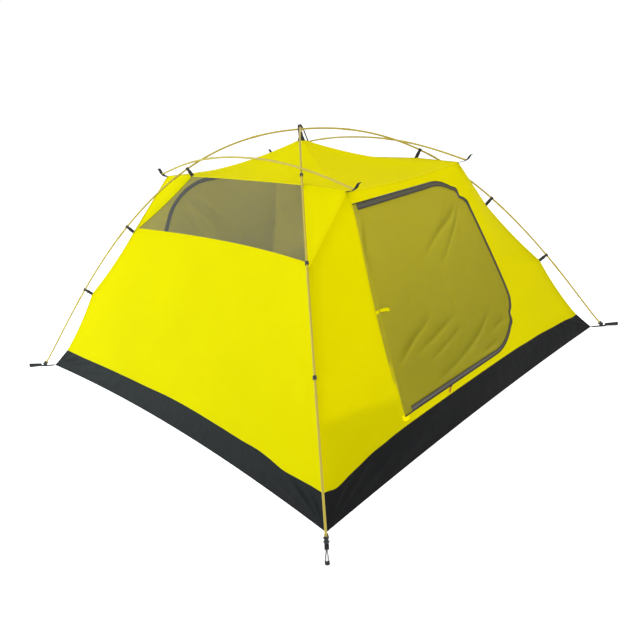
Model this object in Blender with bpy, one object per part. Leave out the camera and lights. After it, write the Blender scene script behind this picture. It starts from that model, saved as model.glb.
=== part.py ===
# Inner tent on two crossed long poles and two short brow poles.
# Metres, +Z up. The origin is on the ground under the middle of the floor.
# The front door faces -Y and the rear door +Y, the mesh windows face -X and +X.

import math

import bmesh
import bpy
from mathutils import Matrix, Vector
from mathutils.geometry import delaunay_2d_cdt

# Cloth, tube and the play between pieces
CLOTH = 0.001
GROUND_CLOTH = 0.0015
GAP = 0.0003
POLE_D = 0.0085

# Tub floor: corner to corner, wall height, inward lean and the pull of the long edges
FLOOR_X = 2.100
FLOOR_Y = 2.140
TUB_HEIGHT = 0.092
TUB_LEAN_X = 0.065
TUB_LEAN_Y = 0.072
SIDE_HEM_BOW = 0.050
END_HEM_BOW = 0.020
TUB_TOP_BOW = 0.045

# Long poles: how far the feet stand outside the floor corners, height of the crossing,
# and the shape of the arch
FOOT_OUT = 0.056
CROSSING_HEIGHT = 1.166
ARCH_CROWN = 2.2
ARCH_LEG = 1.107

# Clips, by their distance along the long pole from its foot
LOW_CLIP_UP = 0.530
MID_CLIP_UP = 0.965
TOP_CLIP_PAST_BROW_POLE = 0.022
CLIP_REACH = 0.045
CLIP_WIDTH = 0.014
CLIP_WALL = 0.0026
CLIP_MOUTH = 55.0
LEG_SCALLOP = 0.008

# Brow corners of the roof and the short poles that spread them
BROW_X = 0.387
BROW_Y = 0.6425
BROW_BELOW_CROSSING = 0.198
BROW_TIP_OUT = 0.042
BROW_TIP_UP = 0.010
BROW_EDGE_SAG = 0.016
ROOF_SIDE_BOW = 0.014

# Roof and side walls
PEAK_BELOW_CROSSING = 0.050
ROOF_SWEEP = 1.9
SIDE_BULGE = 0.010
WINDOW_CORNER_UP = 0.034
WINDOW_SEAM_DIP = 0.010

# D-shaped doors: their margins to the tub, the brow seam and the sides of the flat panel
PANEL_FOOT_X = 0.520
SILL_MARGIN = 0.049
HEAD_MARGIN = 0.052
HINGE_FOOT_MARGIN = 0.014
HINGE_HEAD_MARGIN = 0.009
LATCH_FOOT_MARGIN = 0.041
LATCH_HEAD_MARGIN = 0.064
LATCH_BULGE = 0.021
HEAD_ROUND = 0.237
SILL_ROUND = 0.236
HINGE_PLAY = 0.0005
LEAF_PLAY = 0.0008
ZIP_CHAIN = 0.0032
ZIP_TAPE = 0.020
ZIP_PROUD = 0.0006
TAPE_CLOTH = 0.0012
FOLD_DEPTH = 0.005
FOLD_PITCH = 0.150
FOLD_MARGIN = 0.055
FOLD_TILT = math.radians(35)

# Zip slider and tie-back
SLIDER_FROM_HINGE = 0.314
SLIDER_LENGTH = 0.016
SLIDER_WIDTH = 0.010
SLIDER_THICK = 0.0045
PULL_LENGTH = 0.034
PULL_WIDTH = 0.007
PULL_THICK = 0.0018
TIE_UP = 0.468
TIE_LENGTH = 0.052
TIE_WIDTH = 0.014
TIE_THICK = 0.002

# Pole feet, straps and crown
FOOT_BALL = 0.009
FOOT_COLLAR = 0.012
FOOT_NECK = 0.0078
FOOT_LENGTH = 0.016
STRAP_WIDTH = 0.022
STRAP_THICK = 0.002
LOOP_START = 0.074
LOOP_LENGTH = 0.072
LOOP_WIDTH = 0.022
LOOP_HEIGHT = 0.018
TAB_WIDTH = 0.018
TAB_TAIL = 0.040
TAB_RISE = math.radians(52)
CROWN_NEAR = 0.0118
CROWN_FAR = 0.050
CROWN_WIDTH = 0.008
CROWN_THICK = 0.0015
CROWN_PAD = 0.0075

POLE_R = POLE_D / 2
PEAK_HEIGHT = CROSSING_HEIGHT - PEAK_BELOW_CROSSING
BROW_Z = CROSSING_HEIGHT - BROW_BELOW_CROSSING
SEAM_BACK = CLOTH + GAP
SIDE_STEPS = 12
ROOF_RINGS = 7

# Colours as base colour, roughness and metallic
FINISHES = {
    "yellow_nylon": ((0.84, 0.76, 0.01), 0.55, 0.0),
    "window_mesh": ((0.13, 0.13, 0.05), 0.80, 0.0),
    "door_mesh": ((0.24, 0.22, 0.04), 0.80, 0.0),
    "tub_cloth": ((0.035, 0.038, 0.045), 0.50, 0.0),
    "zip_tape": ((0.13, 0.13, 0.15), 0.75, 0.0),
    "zip_chain": ((0.02, 0.02, 0.02), 0.45, 0.0),
    "black_plastic": ((0.015, 0.015, 0.017), 0.40, 0.0),
    "black_webbing": ((0.02, 0.02, 0.022), 0.85, 0.0),
    "gold_alloy": ((0.62, 0.47, 0.13), 0.30, 0.9),
}


def clear_scene():
    for item in list(bpy.data.objects):
        bpy.data.objects.remove(item, do_unlink=True)


def finish(name):
    material = bpy.data.materials.get(name)
    if material is None:
        colour, roughness, metallic = FINISHES[name]
        material = bpy.data.materials.new(name)
        material.use_nodes = True
        shader = material.node_tree.nodes["Principled BSDF"]
        shader.inputs["Base Color"].default_value = (*colour, 1.0)
        shader.inputs["Roughness"].default_value = roughness
        shader.inputs["Metallic"].default_value = metallic
        material.diffuse_color = (*colour, 1.0)
    return material


def add_object(name, data, material):
    data.materials.append(finish(material))
    item = bpy.data.objects.new(name, data)
    bpy.context.scene.collection.objects.link(item)
    return item


def add_mesh(name, verts, faces, material):
    """A closed mesh with its doubled points merged and its faces turned outwards."""
    work = bmesh.new()
    points = [work.verts.new(v) for v in verts]
    for face in faces:
        if len(set(face)) > 2:
            work.faces.new([points[i] for i in face])
    bmesh.ops.remove_doubles(work, verts=work.verts, dist=1e-6)
    loose = [v for v in work.verts if not v.link_faces]
    bmesh.ops.delete(work, geom=loose, context="VERTS")
    bmesh.ops.dissolve_degenerate(work, dist=1e-6, edges=work.edges)
    bmesh.ops.recalc_face_normals(work, faces=work.faces)
    mesh = bpy.data.meshes.new(name)
    work.to_mesh(mesh)
    work.free()
    return add_object(name, mesh, material)


def shell(name, outer, inner, faces, material):
    """Closed cloth between an outer and an inner skin of matching triangles."""
    edges = {}
    for a, b, c in faces:
        for start, end in ((a, b), (b, c), (c, a)):
            edges[(start, end)] = True
    count = len(outer)
    solid = list(faces)
    solid += [(c + count, b + count, a + count) for a, b, c in faces]
    for start, end in edges:
        if (end, start) not in edges:
            solid.append((end, start, start + count))
            solid.append((end, start + count, end + count))
    return add_mesh(name, list(outer) + list(inner), solid, material)


def grid_faces(table):
    """Triangles between the neighbours in a table of point numbers."""
    faces = []
    for low, high in zip(table, table[1:]):
        for c in range(len(low) - 1):
            faces.append((low[c], low[c + 1], high[c + 1]))
            faces.append((low[c], high[c + 1], high[c]))
    return faces


def ring_table(rings, count):
    """Point numbers of closed rings, each ring ending on its own first point."""
    return [[r * count + i % count for i in range(count + 1)] for r in range(rings)]


def grid_shell(name, rows, shift, material):
    """Cloth over rows of points, with its thickness along one direction."""
    columns = len(rows[0])
    table = [[r * columns + c for c in range(columns)] for r in range(len(rows))]
    outer = [point for row in rows for point in row]
    inner = [point + shift for point in outer]
    return shell(name, outer, inner, grid_faces(table), material)


def crossings(x, y, loop):
    """How many edges of a loop lie to the right of a point."""
    count = 0
    for (ax, ay), (bx, by) in zip(loop, loop[1:] + loop[:1]):
        if (ay > y) != (by > y) and x < ax + (bx - ax) * (y - ay) / (by - ay):
            count += 1
    return count


def fill(loops, spots=()):
    """Points and triangles that fill an outline, past its holes, with spots inside it."""
    flat = [Vector((x, y)) for loop in loops for x, y in loop]
    edges = []
    for loop in loops:
        start = len(edges)
        edges += [(start + i, start + (i + 1) % len(loop)) for i in range(len(loop))]
    flat += [Vector(spot) for spot in spots]
    faces = delaunay_2d_cdt(flat, edges, [], 0, 1e-7, False)[2]
    kept = []
    for a, b, c in faces:
        middle = (flat[a] + flat[b] + flat[c]) / 3
        inside = sum(crossings(middle.x, middle.y, loop) for loop in loops) % 2
        area = (flat[b] - flat[a]).cross(flat[c] - flat[a])
        longest = max((flat[b] - flat[a]).length, (flat[c] - flat[b]).length, (flat[a] - flat[c]).length)
        if inside and abs(area) > longest * 1e-6:
            kept.append((a, b, c) if area > 0 else (a, c, b))
    return flat, kept


def prism(name, outline, holes, height, frame, material):
    """A flat outline with its holes, raised from 0 to height in a local frame."""
    flat, faces = fill([outline] + holes)
    outer = [frame @ Vector((p.x, p.y, height)) for p in flat]
    inner = [frame @ Vector((p.x, p.y, 0)) for p in flat]
    return shell(name, outer, inner, faces, material)


def frame_from(origin, along, up):
    """Local frame with X along, Z up as near as can be, at an origin."""
    x = along.normalized()
    y = up.cross(x).normalized()
    z = x.cross(y)
    turn = Matrix((x, y, z)).transposed()
    return Matrix.Translation(origin) @ turn.to_4x4()


def lathe(name, profile, frame, steps, material):
    """A profile of radius and height turned round the frame's Z axis."""
    verts = []
    for radius, height in profile:
        for i in range(steps):
            angle = 2 * math.pi * i / steps
            across = Vector((radius * math.cos(angle), radius * math.sin(angle), height))
            verts.append(frame @ across)
    return add_mesh(name, verts, grid_faces(ring_table(len(profile), steps)), material)


def tube(name, route, material):
    curve = bpy.data.curves.new(name, "CURVE")
    curve.dimensions = "3D"
    curve.bevel_depth = POLE_R
    curve.bevel_resolution = 2
    curve.use_fill_caps = True
    spline = curve.splines.new("POLY")
    spline.points.add(len(route) - 1)
    for point, place in zip(spline.points, route):
        point.co = (*place, 1.0)
    return add_object(name, curve, material)


def join_solid(target, tool):
    """Fuse a second solid into the first, as one moulding or one sewn piece."""
    union = target.modifiers.new("union", "BOOLEAN")
    union.operation = "UNION"
    union.solver = "EXACT"
    union.object = tool
    tool.hide_render = True
    tool.display_type = "WIRE"


def scallop(a, b, steps, pull):
    """Points from a to b along an edge that the tension pulls in by a vector."""
    points = []
    for i in range(steps + 1):
        t = i / steps
        points.append(a.lerp(b, t) + pull * (4 * t * (1 - t)))
    return points


def mirrored(point, side, end):
    return Vector((point.x * side, point.y * end, point.z))


# Long poles. They are worked out for one quarter, from the foot to the crown.

floor_corner = Vector((FLOOR_X / 2, FLOOR_Y / 2, 0))
diagonal = floor_corner.normalized()
foot_reach = floor_corner.length + FOOT_OUT
ball_height = STRAP_THICK + GAP + FOOT_BALL
STACK = (POLE_D + GAP) / 2


def arch(share):
    """Height share of the arch at a share of its half span."""
    return (1 - share ** ARCH_CROWN) ** ARCH_LEG


def long_pole_point(reach, crown):
    height = ball_height + (crown - ball_height) * arch(min(reach / foot_reach, 1.0))
    return Vector((diagonal.x * reach, diagonal.y * reach, height))


def walk_long_pole(crown):
    """Finely spaced points and their distance up the pole from the foot."""
    steps = 400
    points = [long_pole_point(foot_reach * (1 - i / steps), crown) for i in range(steps + 1)]
    walked = [0.0]
    for before, after in zip(points, points[1:]):
        walked.append(walked[-1] + (after - before).length)
    return points, walked


def point_up(track, distance):
    points, walked = track
    for i in range(1, len(points)):
        if walked[i] >= distance:
            t = (distance - walked[i - 1]) / (walked[i] - walked[i - 1])
            return points[i - 1].lerp(points[i], t)
    return points[-1].copy()


low_track = walk_long_pole(CROSSING_HEIGHT - STACK)
high_track = walk_long_pole(CROSSING_HEIGHT + STACK)

# Brow poles. Each crosses over one leg of both long poles.

brow_pole_x = BROW_X + POLE_R
brow_tip = Vector((brow_pole_x, BROW_Y + BROW_TIP_OUT, BROW_Z + BROW_TIP_UP))
brow_cross_reach = brow_pole_x / diagonal.x
brow_cross = long_pole_point(brow_cross_reach, CROSSING_HEIGHT + STACK)


def brow_pole_point(across, rise):
    share = min(abs(across) / brow_tip.y, 1.0)
    return Vector((brow_pole_x, across, brow_tip.z + rise * arch(share)))


def brow_rise():
    """Rise of the brow pole that clears the long pole under it, tube on tube."""
    step = 0.004
    under = long_pole_point(brow_cross_reach + step, CROSSING_HEIGHT + STACK)
    lift = POLE_D
    rise = 0.0
    for _ in range(4):
        share = brow_cross.y / brow_tip.y
        rise = (brow_cross.z + lift - brow_tip.z) / arch(share)
        over = brow_pole_point(brow_cross.y + step, rise) - brow_pole_point(brow_cross.y, rise)
        shared = (under - brow_cross).cross(over)
        lift = (POLE_D + GAP) * shared.length / abs(shared.z)
    return rise


BROW_RISE = brow_rise()
track_at_brow = min(zip(*low_track), key=lambda pair: abs(pair[0].y - brow_cross.y))[1]
CLIP_UPS = (LOW_CLIP_UP, MID_CLIP_UP, track_at_brow - TOP_CLIP_PAST_BROW_POLE)
CLIP_NAMES = ("low", "mid", "top")
CLIP_STRAIGHT = CLIP_WIDTH * 0.9


def route_stations(length):
    """Distances up one leg at which the tube has its points, straight through each clip."""
    stops = [0.0, FOOT_LENGTH * 1.5]
    for up in CLIP_UPS:
        stops += [up - CLIP_STRAIGHT, up + CLIP_STRAIGHT]
    stops.append(length)
    filled = [stops[0]]
    for before, after in zip(stops, stops[1:]):
        pieces = max(1, round((after - before) / 0.095))
        filled += [before + (after - before) * i / pieces for i in range(1, pieces + 1)]
    return filled


def make_long_pole(name, track, turn):
    leg = [point_up(track, up) for up in route_stations(track[1][-1])]
    start = leg[0] + (leg[1] - leg[0]).normalized() * (FOOT_BALL / 3 + GAP)
    leg[0] = start
    near = [mirrored(p, -turn, -1) for p in leg]
    far = [mirrored(p, turn, 1) for p in leg]
    return tube(name, near + far[-2::-1], "gold_alloy")


def make_brow_pole(name, side):
    steps = 24
    route = []
    for i in range(steps + 1):
        place = brow_pole_point(-brow_tip.y + 2 * brow_tip.y * i / steps, BROW_RISE)
        route.append(mirrored(place, side, 1))
    return tube(name, route, "gold_alloy")


# Pole feet: a moulded ball foot with two collars, over the end of the tube.

def make_pole_foot(name, side, end, track):
    base = track[0][0]
    axis = (point_up(track, FOOT_LENGTH * 1.5) - base).normalized()
    profile = []
    for i in range(5):
        angle = math.radians(-90 + 22.5 * i)
        profile.append((FOOT_BALL * math.cos(angle), FOOT_BALL * math.sin(angle)))
    bore = POLE_R + GAP
    bore_floor = FOOT_BALL / 3
    collar = FOOT_LENGTH / 8
    profile += [
        (FOOT_COLLAR, 0.0),
        (FOOT_COLLAR, collar),
        (FOOT_NECK, collar * 2),
        (FOOT_NECK, FOOT_LENGTH - collar * 3),
        (FOOT_COLLAR - CLIP_WALL / 2, FOOT_LENGTH - collar * 2),
        (FOOT_COLLAR - CLIP_WALL / 2, FOOT_LENGTH - collar),
        (bore, FOOT_LENGTH - collar),
        (bore, bore_floor),
        (0.0, bore_floor),
    ]
    frame = frame_from(mirrored(base, side, end), Vector((-end, side, 0)), mirrored(axis, side, end))
    return lathe(name, profile, frame, 16, "black_plastic")


# Clips: a hook that snaps on the pole, a bar, and the webbing sewn in the seam.

def clip_outline(reach):
    """Side view of a clip: X towards the canopy, Y across the pole."""
    inner = POLE_R + GAP
    outer = inner + CLIP_WALL
    stem = 0.0018
    bar = 0.0034
    start = math.degrees(math.asin(stem / outer))
    lip = 20.0
    tip = 360.0 - lip - CLIP_MOUTH
    points = []
    for i in range(11):
        angle = math.radians(start + (tip - start) * i / 10)
        points.append((outer * math.cos(angle), outer * math.sin(angle)))
    for i in range(11):
        angle = math.radians(tip - (tip + lip) * i / 10)
        points.append((inner * math.cos(angle), inner * math.sin(angle)))
    points.append((outer * math.cos(math.radians(lip)), -outer * math.sin(math.radians(lip))))
    points.append((outer * math.cos(math.radians(start)), -stem))
    bar_start = outer + 0.006
    bar_end = bar_start + 0.008
    web = STRAP_THICK / 2
    lower = [
        (bar_start, -stem),
        (bar_start + 0.002, -bar),
        (bar_end - 0.002, -bar),
        (bar_end, -web),
        (reach, -web),
    ]
    return points + lower + [(x, -y) for x, y in reversed(lower)]


def clip_frame(track, up, side, end):
    """Pole point, pole direction and the direction from the pole to the canopy."""
    below = point_up(track, up - CLIP_STRAIGHT)
    above = point_up(track, up + CLIP_STRAIGHT)
    along = (above - below).normalized()
    outward = Vector((diagonal.x, diagonal.y, 0))
    inward = (along.cross(outward.cross(along))).normalized()
    inward = -inward if inward.dot(outward) > 0 else inward
    middle = (below + above) / 2
    return mirrored(middle, side, end), mirrored(along, side, end), mirrored(inward, side, end)


def canopy_point(up):
    """Canopy corner under a clip, in the first quarter, from the mean of the two pole heights."""
    middle, _, inward = clip_frame(high_track, up, 1, 1)
    lower, _, _ = clip_frame(low_track, up, 1, 1)
    return (middle + lower) / 2 + inward * CLIP_REACH


def make_clip(name, track, up, side, end):
    place, along, inward = clip_frame(track, up, side, end)
    target = mirrored(canopy_point(up), side, end)
    reach = (target - place).dot(inward) - GAP * 2
    frame = frame_from(place - along * (CLIP_WIDTH / 2), inward, along)
    return prism(name, clip_outline(reach), [], CLIP_WIDTH, frame, "black_plastic")


# Canopy seams, in the first quarter: the leg seam and the brow seam.

def along_path(path, share):
    place = share * (len(path) - 1)
    index = min(int(place), len(path) - 2)
    return path[index].lerp(path[index + 1], place - index)


tub_corner = Vector((FLOOR_X / 2 - TUB_LEAN_X, FLOOR_Y / 2 - TUB_LEAN_Y, TUB_HEIGHT))
low_corner, mid_corner, top_corner = (canopy_point(up) for up in CLIP_UPS)
brow_corner = Vector((BROW_X, BROW_Y, BROW_Z))
seam_pull = Vector((-diagonal.x, -diagonal.y, -1)).normalized() * LEG_SCALLOP
leg_lower = scallop(tub_corner, low_corner, 3, seam_pull)[:-1] + scallop(low_corner, mid_corner, 3, seam_pull)
leg_upper = scallop(mid_corner, top_corner, 4, seam_pull)
window_corner = along_path(leg_upper, WINDOW_CORNER_UP / (top_corner - mid_corner).length)
brow_seam = scallop(mid_corner, brow_corner, 4, Vector((0, 0, 0)))

# Side walls. Every row bows in between the two legs, by more where the legs bulge.

tub_mid_x = tub_corner.x - TUB_TOP_BOW
roof_mid_x = top_corner.x - ROOF_SIDE_BOW


def side_mid_x(height):
    t = (height - tub_corner.z) / (top_corner.z - tub_corner.z)
    return tub_mid_x + (roof_mid_x - tub_mid_x) * t + SIDE_BULGE * math.sin(math.pi * t)


def side_row(corner, lift, back):
    """Row of the side wall between two leg points, its ends set back along Y."""
    row = []
    bow = corner.x - side_mid_x(corner.z)
    reach = corner.y - back
    for i in range(SIDE_STEPS + 1):
        u = -1 + 2 * i / SIDE_STEPS
        slack = 1 - u * u
        row.append(Vector((corner.x - bow * slack, reach * u, corner.z + lift * slack)))
    return row


def seam_lift(corner):
    share = max(0.0, (corner.z - low_corner.z) / (window_corner.z - low_corner.z))
    return -WINDOW_SEAM_DIP * share


def slid(row, towards, distance):
    """A row moved a short way towards its neighbour, to leave a seam open."""
    return [a + (b - a).normalized() * distance for a, b in zip(row, towards)]


def dropped(row, below, drop):
    """A row moved down its panel until it is lower by a drop."""
    return [a + (b - a) * (drop / (a.z - b.z)) for a, b in zip(row, below)]


def make_side(side, word):
    shift = Vector((-side * CLOTH, 0, 0))
    wall = [side_row(c, seam_lift(c), SEAM_BACK) for c in leg_lower]
    wall.append(side_row(window_corner, -WINDOW_SEAM_DIP, GAP))
    lifted = [dropped(wall[0], wall[1], -GAP)] + wall[1:-1]
    lifted.append(slid(wall[-1], wall[-2], GAP / 2))
    grid_shell(word + "_wall", [[mirrored(p, side, 1) for p in row] for row in lifted], shift, "yellow_nylon")
    window = [side_row(window_corner, -WINDOW_SEAM_DIP, GAP)]
    window += [side_row(c, -WINDOW_SEAM_DIP * (1 - i / 4), GAP) for i, c in enumerate(leg_upper[1:], 1)]
    window[0] = slid(window[0], window[1], GAP / 2)
    window[-1] = dropped(window[-1], window[-2], SEAM_BACK)
    grid_shell(word + "_window", [[mirrored(p, side, 1) for p in row] for row in window], shift, "window_mesh")


def make_gusset(name, side, end):
    """Three-cornered panel between the mid clip, the top clip and the brow corner."""
    tip = 0.035
    columns = 4
    rows = []
    steps = len(leg_upper) - 1
    for i in range(steps + 1):
        share = tip + (1 - tip) * i / steps
        window_side = along_path(leg_upper, share) + Vector((0, GAP, 0)) * 0.2
        wall_side = along_path(brow_seam, share) - Vector((0, SEAM_BACK, 0))
        rows.append([window_side.lerp(wall_side, c / (columns - 1)) for c in range(columns)])
    rows[-1] = dropped(rows[-1], rows[-2], SEAM_BACK)
    rows = [[mirrored(p, side, end) for p in row] for row in rows]
    return grid_shell(name, rows, Vector((-side * CLOTH, 0, 0)), "yellow_nylon")


# End walls. The middle of each is flat, for the door; a strip each side twists to the leg.

wall_foot = Vector((0, -tub_corner.y, tub_corner.z))
wall_head = Vector((0, -brow_corner.y, brow_corner.z))
wall_rise = (wall_head - wall_foot).length
wall_up = (wall_head - wall_foot).normalized()
wall_out = Vector((1, 0, 0)).cross(wall_up)
WALL_IN = -wall_out


def on_wall(x, up, out=0.0):
    return wall_foot + Vector((x, 0, 0)) + wall_up * up + wall_out * out


def turned(point, end):
    """The front point itself, or the same point of the rear end, half a turn away."""
    return point.copy() if end < 0 else Vector((-point.x, -point.y, point.z))


def flat_edge_x(up):
    return PANEL_FOOT_X + (BROW_X - PANEL_FOOT_X) * up / wall_rise


DOOR_SILL = SILL_MARGIN
DOOR_HEAD = wall_rise - HEAD_MARGIN
HINGE_FOOT_X = HINGE_FOOT_MARGIN - flat_edge_x(DOOR_SILL)
HINGE_HEAD_X = HINGE_HEAD_MARGIN - flat_edge_x(DOOR_HEAD)
LATCH_FOOT_X = flat_edge_x(DOOR_SILL) - LATCH_FOOT_MARGIN
LATCH_HEAD_X = flat_edge_x(DOOR_HEAD) - LATCH_HEAD_MARGIN


def fillet(before, corner, after, radius, steps):
    """Points of a round corner between two straight edges."""
    first = (before - corner).normalized()
    second = (after - corner).normalized()
    half = math.acos(max(-1.0, min(1.0, first.dot(second)))) / 2
    start = corner + first * (radius / math.tan(half))
    stop = corner + second * (radius / math.tan(half))
    centre = corner + (first + second).normalized() * (radius / math.sin(half))
    points = []
    for i in range(steps + 1):
        blend = (start - centre).lerp(stop - centre, i / steps).normalized()
        points.append(centre + blend * radius)
    return points


def door_outline():
    """Closed outline of the door hole, from the hinge head round to the hinge foot."""
    hinge_head = Vector((HINGE_HEAD_X, DOOR_HEAD))
    hinge_foot = Vector((HINGE_FOOT_X, DOOR_SILL))
    latch_head = Vector((LATCH_HEAD_X, DOOR_HEAD))
    latch_foot = Vector((LATCH_FOOT_X, DOOR_SILL))
    head_round = fillet(hinge_head, latch_head, latch_foot, HEAD_ROUND, 6)
    sill_round = fillet(latch_head, latch_foot, hinge_foot, SILL_ROUND, 7)
    head_run = [hinge_head.lerp(head_round[0], i / 4) for i in range(4)]
    latch_run = [head_round[-1].lerp(sill_round[0], i / 4) for i in range(1, 4)]
    sill_run = [sill_round[-1].lerp(hinge_foot, i / 5) for i in range(1, 6)]
    path = head_run + head_round + latch_run + sill_round + sill_run
    bowed = []
    for point in path:
        t = (point.y - DOOR_SILL) / (DOOR_HEAD - DOOR_SILL)
        weight = max(0.0, point.x / LATCH_FOOT_X)
        bowed.append(Vector((point.x + LATCH_BULGE * 4 * t * (1 - t) * weight, point.y)))
    return bowed


def inset(path, distance, hinge_distance):
    """The door outline moved inwards, by another distance on its hinge edge."""
    count = len(path)
    moved = []
    for i in range(count):
        before = path[i - 1]
        here = path[i]
        after = path[(i + 1) % count]
        lines = []
        for a, b in ((before, here), (here, after)):
            along = (b - a).normalized()
            inward = Vector((along.y, -along.x))
            hinge = (a - path[-1]).length < 1e-9 and (b - path[0]).length < 1e-9
            lines.append((here + inward * (hinge_distance if hinge else distance), along, inward))
        (p, d, n), (q, e, m) = lines
        cross = d.x * e.y - d.y * e.x
        if abs(cross) < 1e-4:
            moved.append(p)
        else:
            step = ((q - p).x * e.y - (q - p).y * e.x) / cross
            moved.append(p + d * step)
    return moved


DOOR = door_outline()


def end_wall_skin():
    """Outer skin of the front wall: two twisted strips and the flat middle with its hole."""
    edge = leg_lower[:-1] + brow_seam
    ups = [(p.z - tub_corner.z) / wall_up.z for p in edge]
    ups[0] = GAP / wall_up.z + CLOTH * abs(wall_out.z)
    ups[-1] = wall_rise - SEAM_BACK / wall_up.z
    half_widths = [flat_edge_x(up) for up in ups]
    half_widths[-1] -= SEAM_BACK
    left = [(-x, up) for x, up in zip(half_widths, ups)]
    right = [(x, up) for x, up in reversed(list(zip(half_widths, ups)))]
    head = []
    for i in range(1, 8):
        t = -1 + i / 4
        head.append((half_widths[-1] * t, ups[-1] - BROW_EDGE_SAG * (1 - t * t)))
    outline = left + head + right
    flat, faces = fill([outline, [(p.x, p.y) for p in DOOR]])
    verts = [on_wall(p.x, p.y) for p in flat]
    steps = 3
    for side in (-1, 1):
        table = []
        for i, (seam, up) in enumerate(zip(edge, ups)):
            inner = i if side < 0 else len(outline) - 1 - i
            height = on_wall(0, up).z
            leg = Vector((side * (seam.x - SEAM_BACK), -seam.y, height))
            first = len(verts)
            verts += [leg.lerp(verts[inner], c / steps) for c in range(steps)]
            table.append(list(range(first, first + steps)) + [inner])
        table[-1] = [table[-1][-1]] * (steps + 1)
        faces += [face for face in grid_faces(table) if len(set(face)) == 3]
    return verts, faces


def facing(verts, faces, direction):
    """The triangles, each turned to face a direction."""
    kept = []
    for a, b, c in faces:
        normal = (verts[b] - verts[a]).cross(verts[c] - verts[a])
        if normal.length < 1e-12:
            continue
        kept.append((a, b, c) if normal.dot(direction) > 0 else (a, c, b))
    return kept


def make_end_wall(name, end):
    verts, faces = end_wall_skin()
    faces = facing(verts, faces, wall_out)
    outer = [turned(p, end) for p in verts]
    inner = [turned(p + WALL_IN * CLOTH, end) for p in verts]
    return shell(name, outer, inner, faces, "yellow_nylon")


# Doors: mesh and inner cloth on one hinge seam, with the zip round the other three sides.

def fold_height(x, up):
    """Slack folds that cross the door leaf on a slant and die out before its edges."""
    t = (up - DOOR_SILL) / (DOOR_HEAD - DOOR_SILL)
    hinge = HINGE_FOOT_X + (HINGE_HEAD_X - HINGE_FOOT_X) * t
    latch = LATCH_FOOT_X + (LATCH_HEAD_X - LATCH_FOOT_X) * t
    across = (2 * x - hinge - latch) / (latch - hinge - 2 * FOLD_MARGIN)
    upright = (2 * t - 1) / (1 - 2 * FOLD_MARGIN / (DOOR_HEAD - DOOR_SILL))
    fade = max(0.0, 1 - across ** 4) * max(0.0, 1 - upright ** 4)
    phase = (up * math.cos(FOLD_TILT) - x * math.sin(FOLD_TILT)) / FOLD_PITCH
    return FOLD_DEPTH * fade * (0.5 + 0.5 * math.sin(2 * math.pi * phase))


def spots_inside(path, pitch):
    """A field of points inside a path, in staggered rows, none near its edge."""
    spots = []
    rows = int(1.2 / (pitch * 0.866))
    for r in range(rows):
        for c in range(int(1.2 / pitch)):
            x = -0.6 + (c + 0.5 * (r % 2)) * pitch
            y = r * pitch * 0.866
            near = min((Vector((x, y)) - p).length for p in path)
            if near > pitch * 0.6 and crossings(x, y, [(p.x, p.y) for p in path]) % 2:
                spots.append((x, y))
    return spots


def leaf_sheet(name, end, margin, hinge_margin, depth, thickness, material):
    """A D-shaped sheet with its folds, its outer face a depth behind the wall's face."""
    rim = inset(DOOR, margin, hinge_margin)
    rim += [rim[-1].lerp(rim[0], i / 12) for i in range(1, 12)]
    flat, faces = fill([[(p.x, p.y) for p in rim]], spots_inside(rim, 0.052))
    outer = []
    inner = []
    for p in flat:
        out = fold_height(p.x, p.y) - depth
        outer.append(turned(on_wall(p.x, p.y, out), end))
        inner.append(turned(on_wall(p.x, p.y, out - thickness), end))
    return shell(name, outer, inner, faces, material)


def zip_band(name, end, near, far, proud, depth, material):
    """A band that follows the door outline between two distances from it."""
    outer_path = inset(DOOR, near, HINGE_PLAY)
    inner_path = inset(DOOR, far, HINGE_PLAY)
    rows = [[on_wall(p.x, p.y, proud) for p in path] for path in (outer_path, inner_path)]
    rows = [[turned(p, end) for p in row] for row in rows]
    shift = turned(WALL_IN, end) * (proud + depth)
    return grid_shell(name, rows, shift, material)


def make_zip_slider(name, end):
    """Slider on the sill run of the zip, with its pull hanging over the wall below."""
    x = HINGE_FOOT_X + SLIDER_FROM_HINGE
    up = DOOR_SILL + GAP + ZIP_CHAIN / 2
    nose = SLIDER_LENGTH * 0.3
    body = [
        (-SLIDER_LENGTH / 2, -SLIDER_WIDTH * 0.3),
        (-SLIDER_LENGTH / 2 + nose, -SLIDER_WIDTH / 2),
        (SLIDER_LENGTH / 2 - nose / 2, -SLIDER_WIDTH / 2),
        (SLIDER_LENGTH / 2, -SLIDER_WIDTH * 0.25),
        (SLIDER_LENGTH / 2, SLIDER_WIDTH * 0.25),
        (SLIDER_LENGTH / 2 - nose / 2, SLIDER_WIDTH / 2),
        (-SLIDER_LENGTH / 2 + nose, SLIDER_WIDTH / 2),
        (-SLIDER_LENGTH / 2, SLIDER_WIDTH * 0.3),
    ]
    origin = turned(on_wall(x, up, ZIP_PROUD + GAP), end)
    frame = frame_from(origin, turned(Vector((1, 0, 0)), end), turned(wall_out, end))
    slider = prism(name, body, [], SLIDER_THICK, frame, "black_plastic")
    half = PULL_WIDTH / 2
    pull = [(-half * 0.7, 0.0), (-half, -PULL_LENGTH * 0.3), (-half, -PULL_LENGTH * 0.85)]
    for i in range(1, 6):
        angle = math.pi + math.pi * i / 6
        pull.append((half * math.cos(angle), -PULL_LENGTH * 0.85 + half * math.sin(angle)))
    pull += [(half, -PULL_LENGTH * 0.85), (half, -PULL_LENGTH * 0.3), (half * 0.7, 0.0)]
    raised = frame @ Matrix.Translation((0, 0, SLIDER_THICK * 0.45))
    tab = prism(name + "_pull_shape", pull, [], PULL_THICK, raised, "black_plastic")
    join_solid(slider, tab)
    return slider


def hinge_point(up, out=0.0):
    t = (up - DOOR_SILL) / (DOOR_HEAD - DOOR_SILL)
    return on_wall(HINGE_FOOT_X + (HINGE_HEAD_X - HINGE_FOOT_X) * t, up, out)


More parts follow.
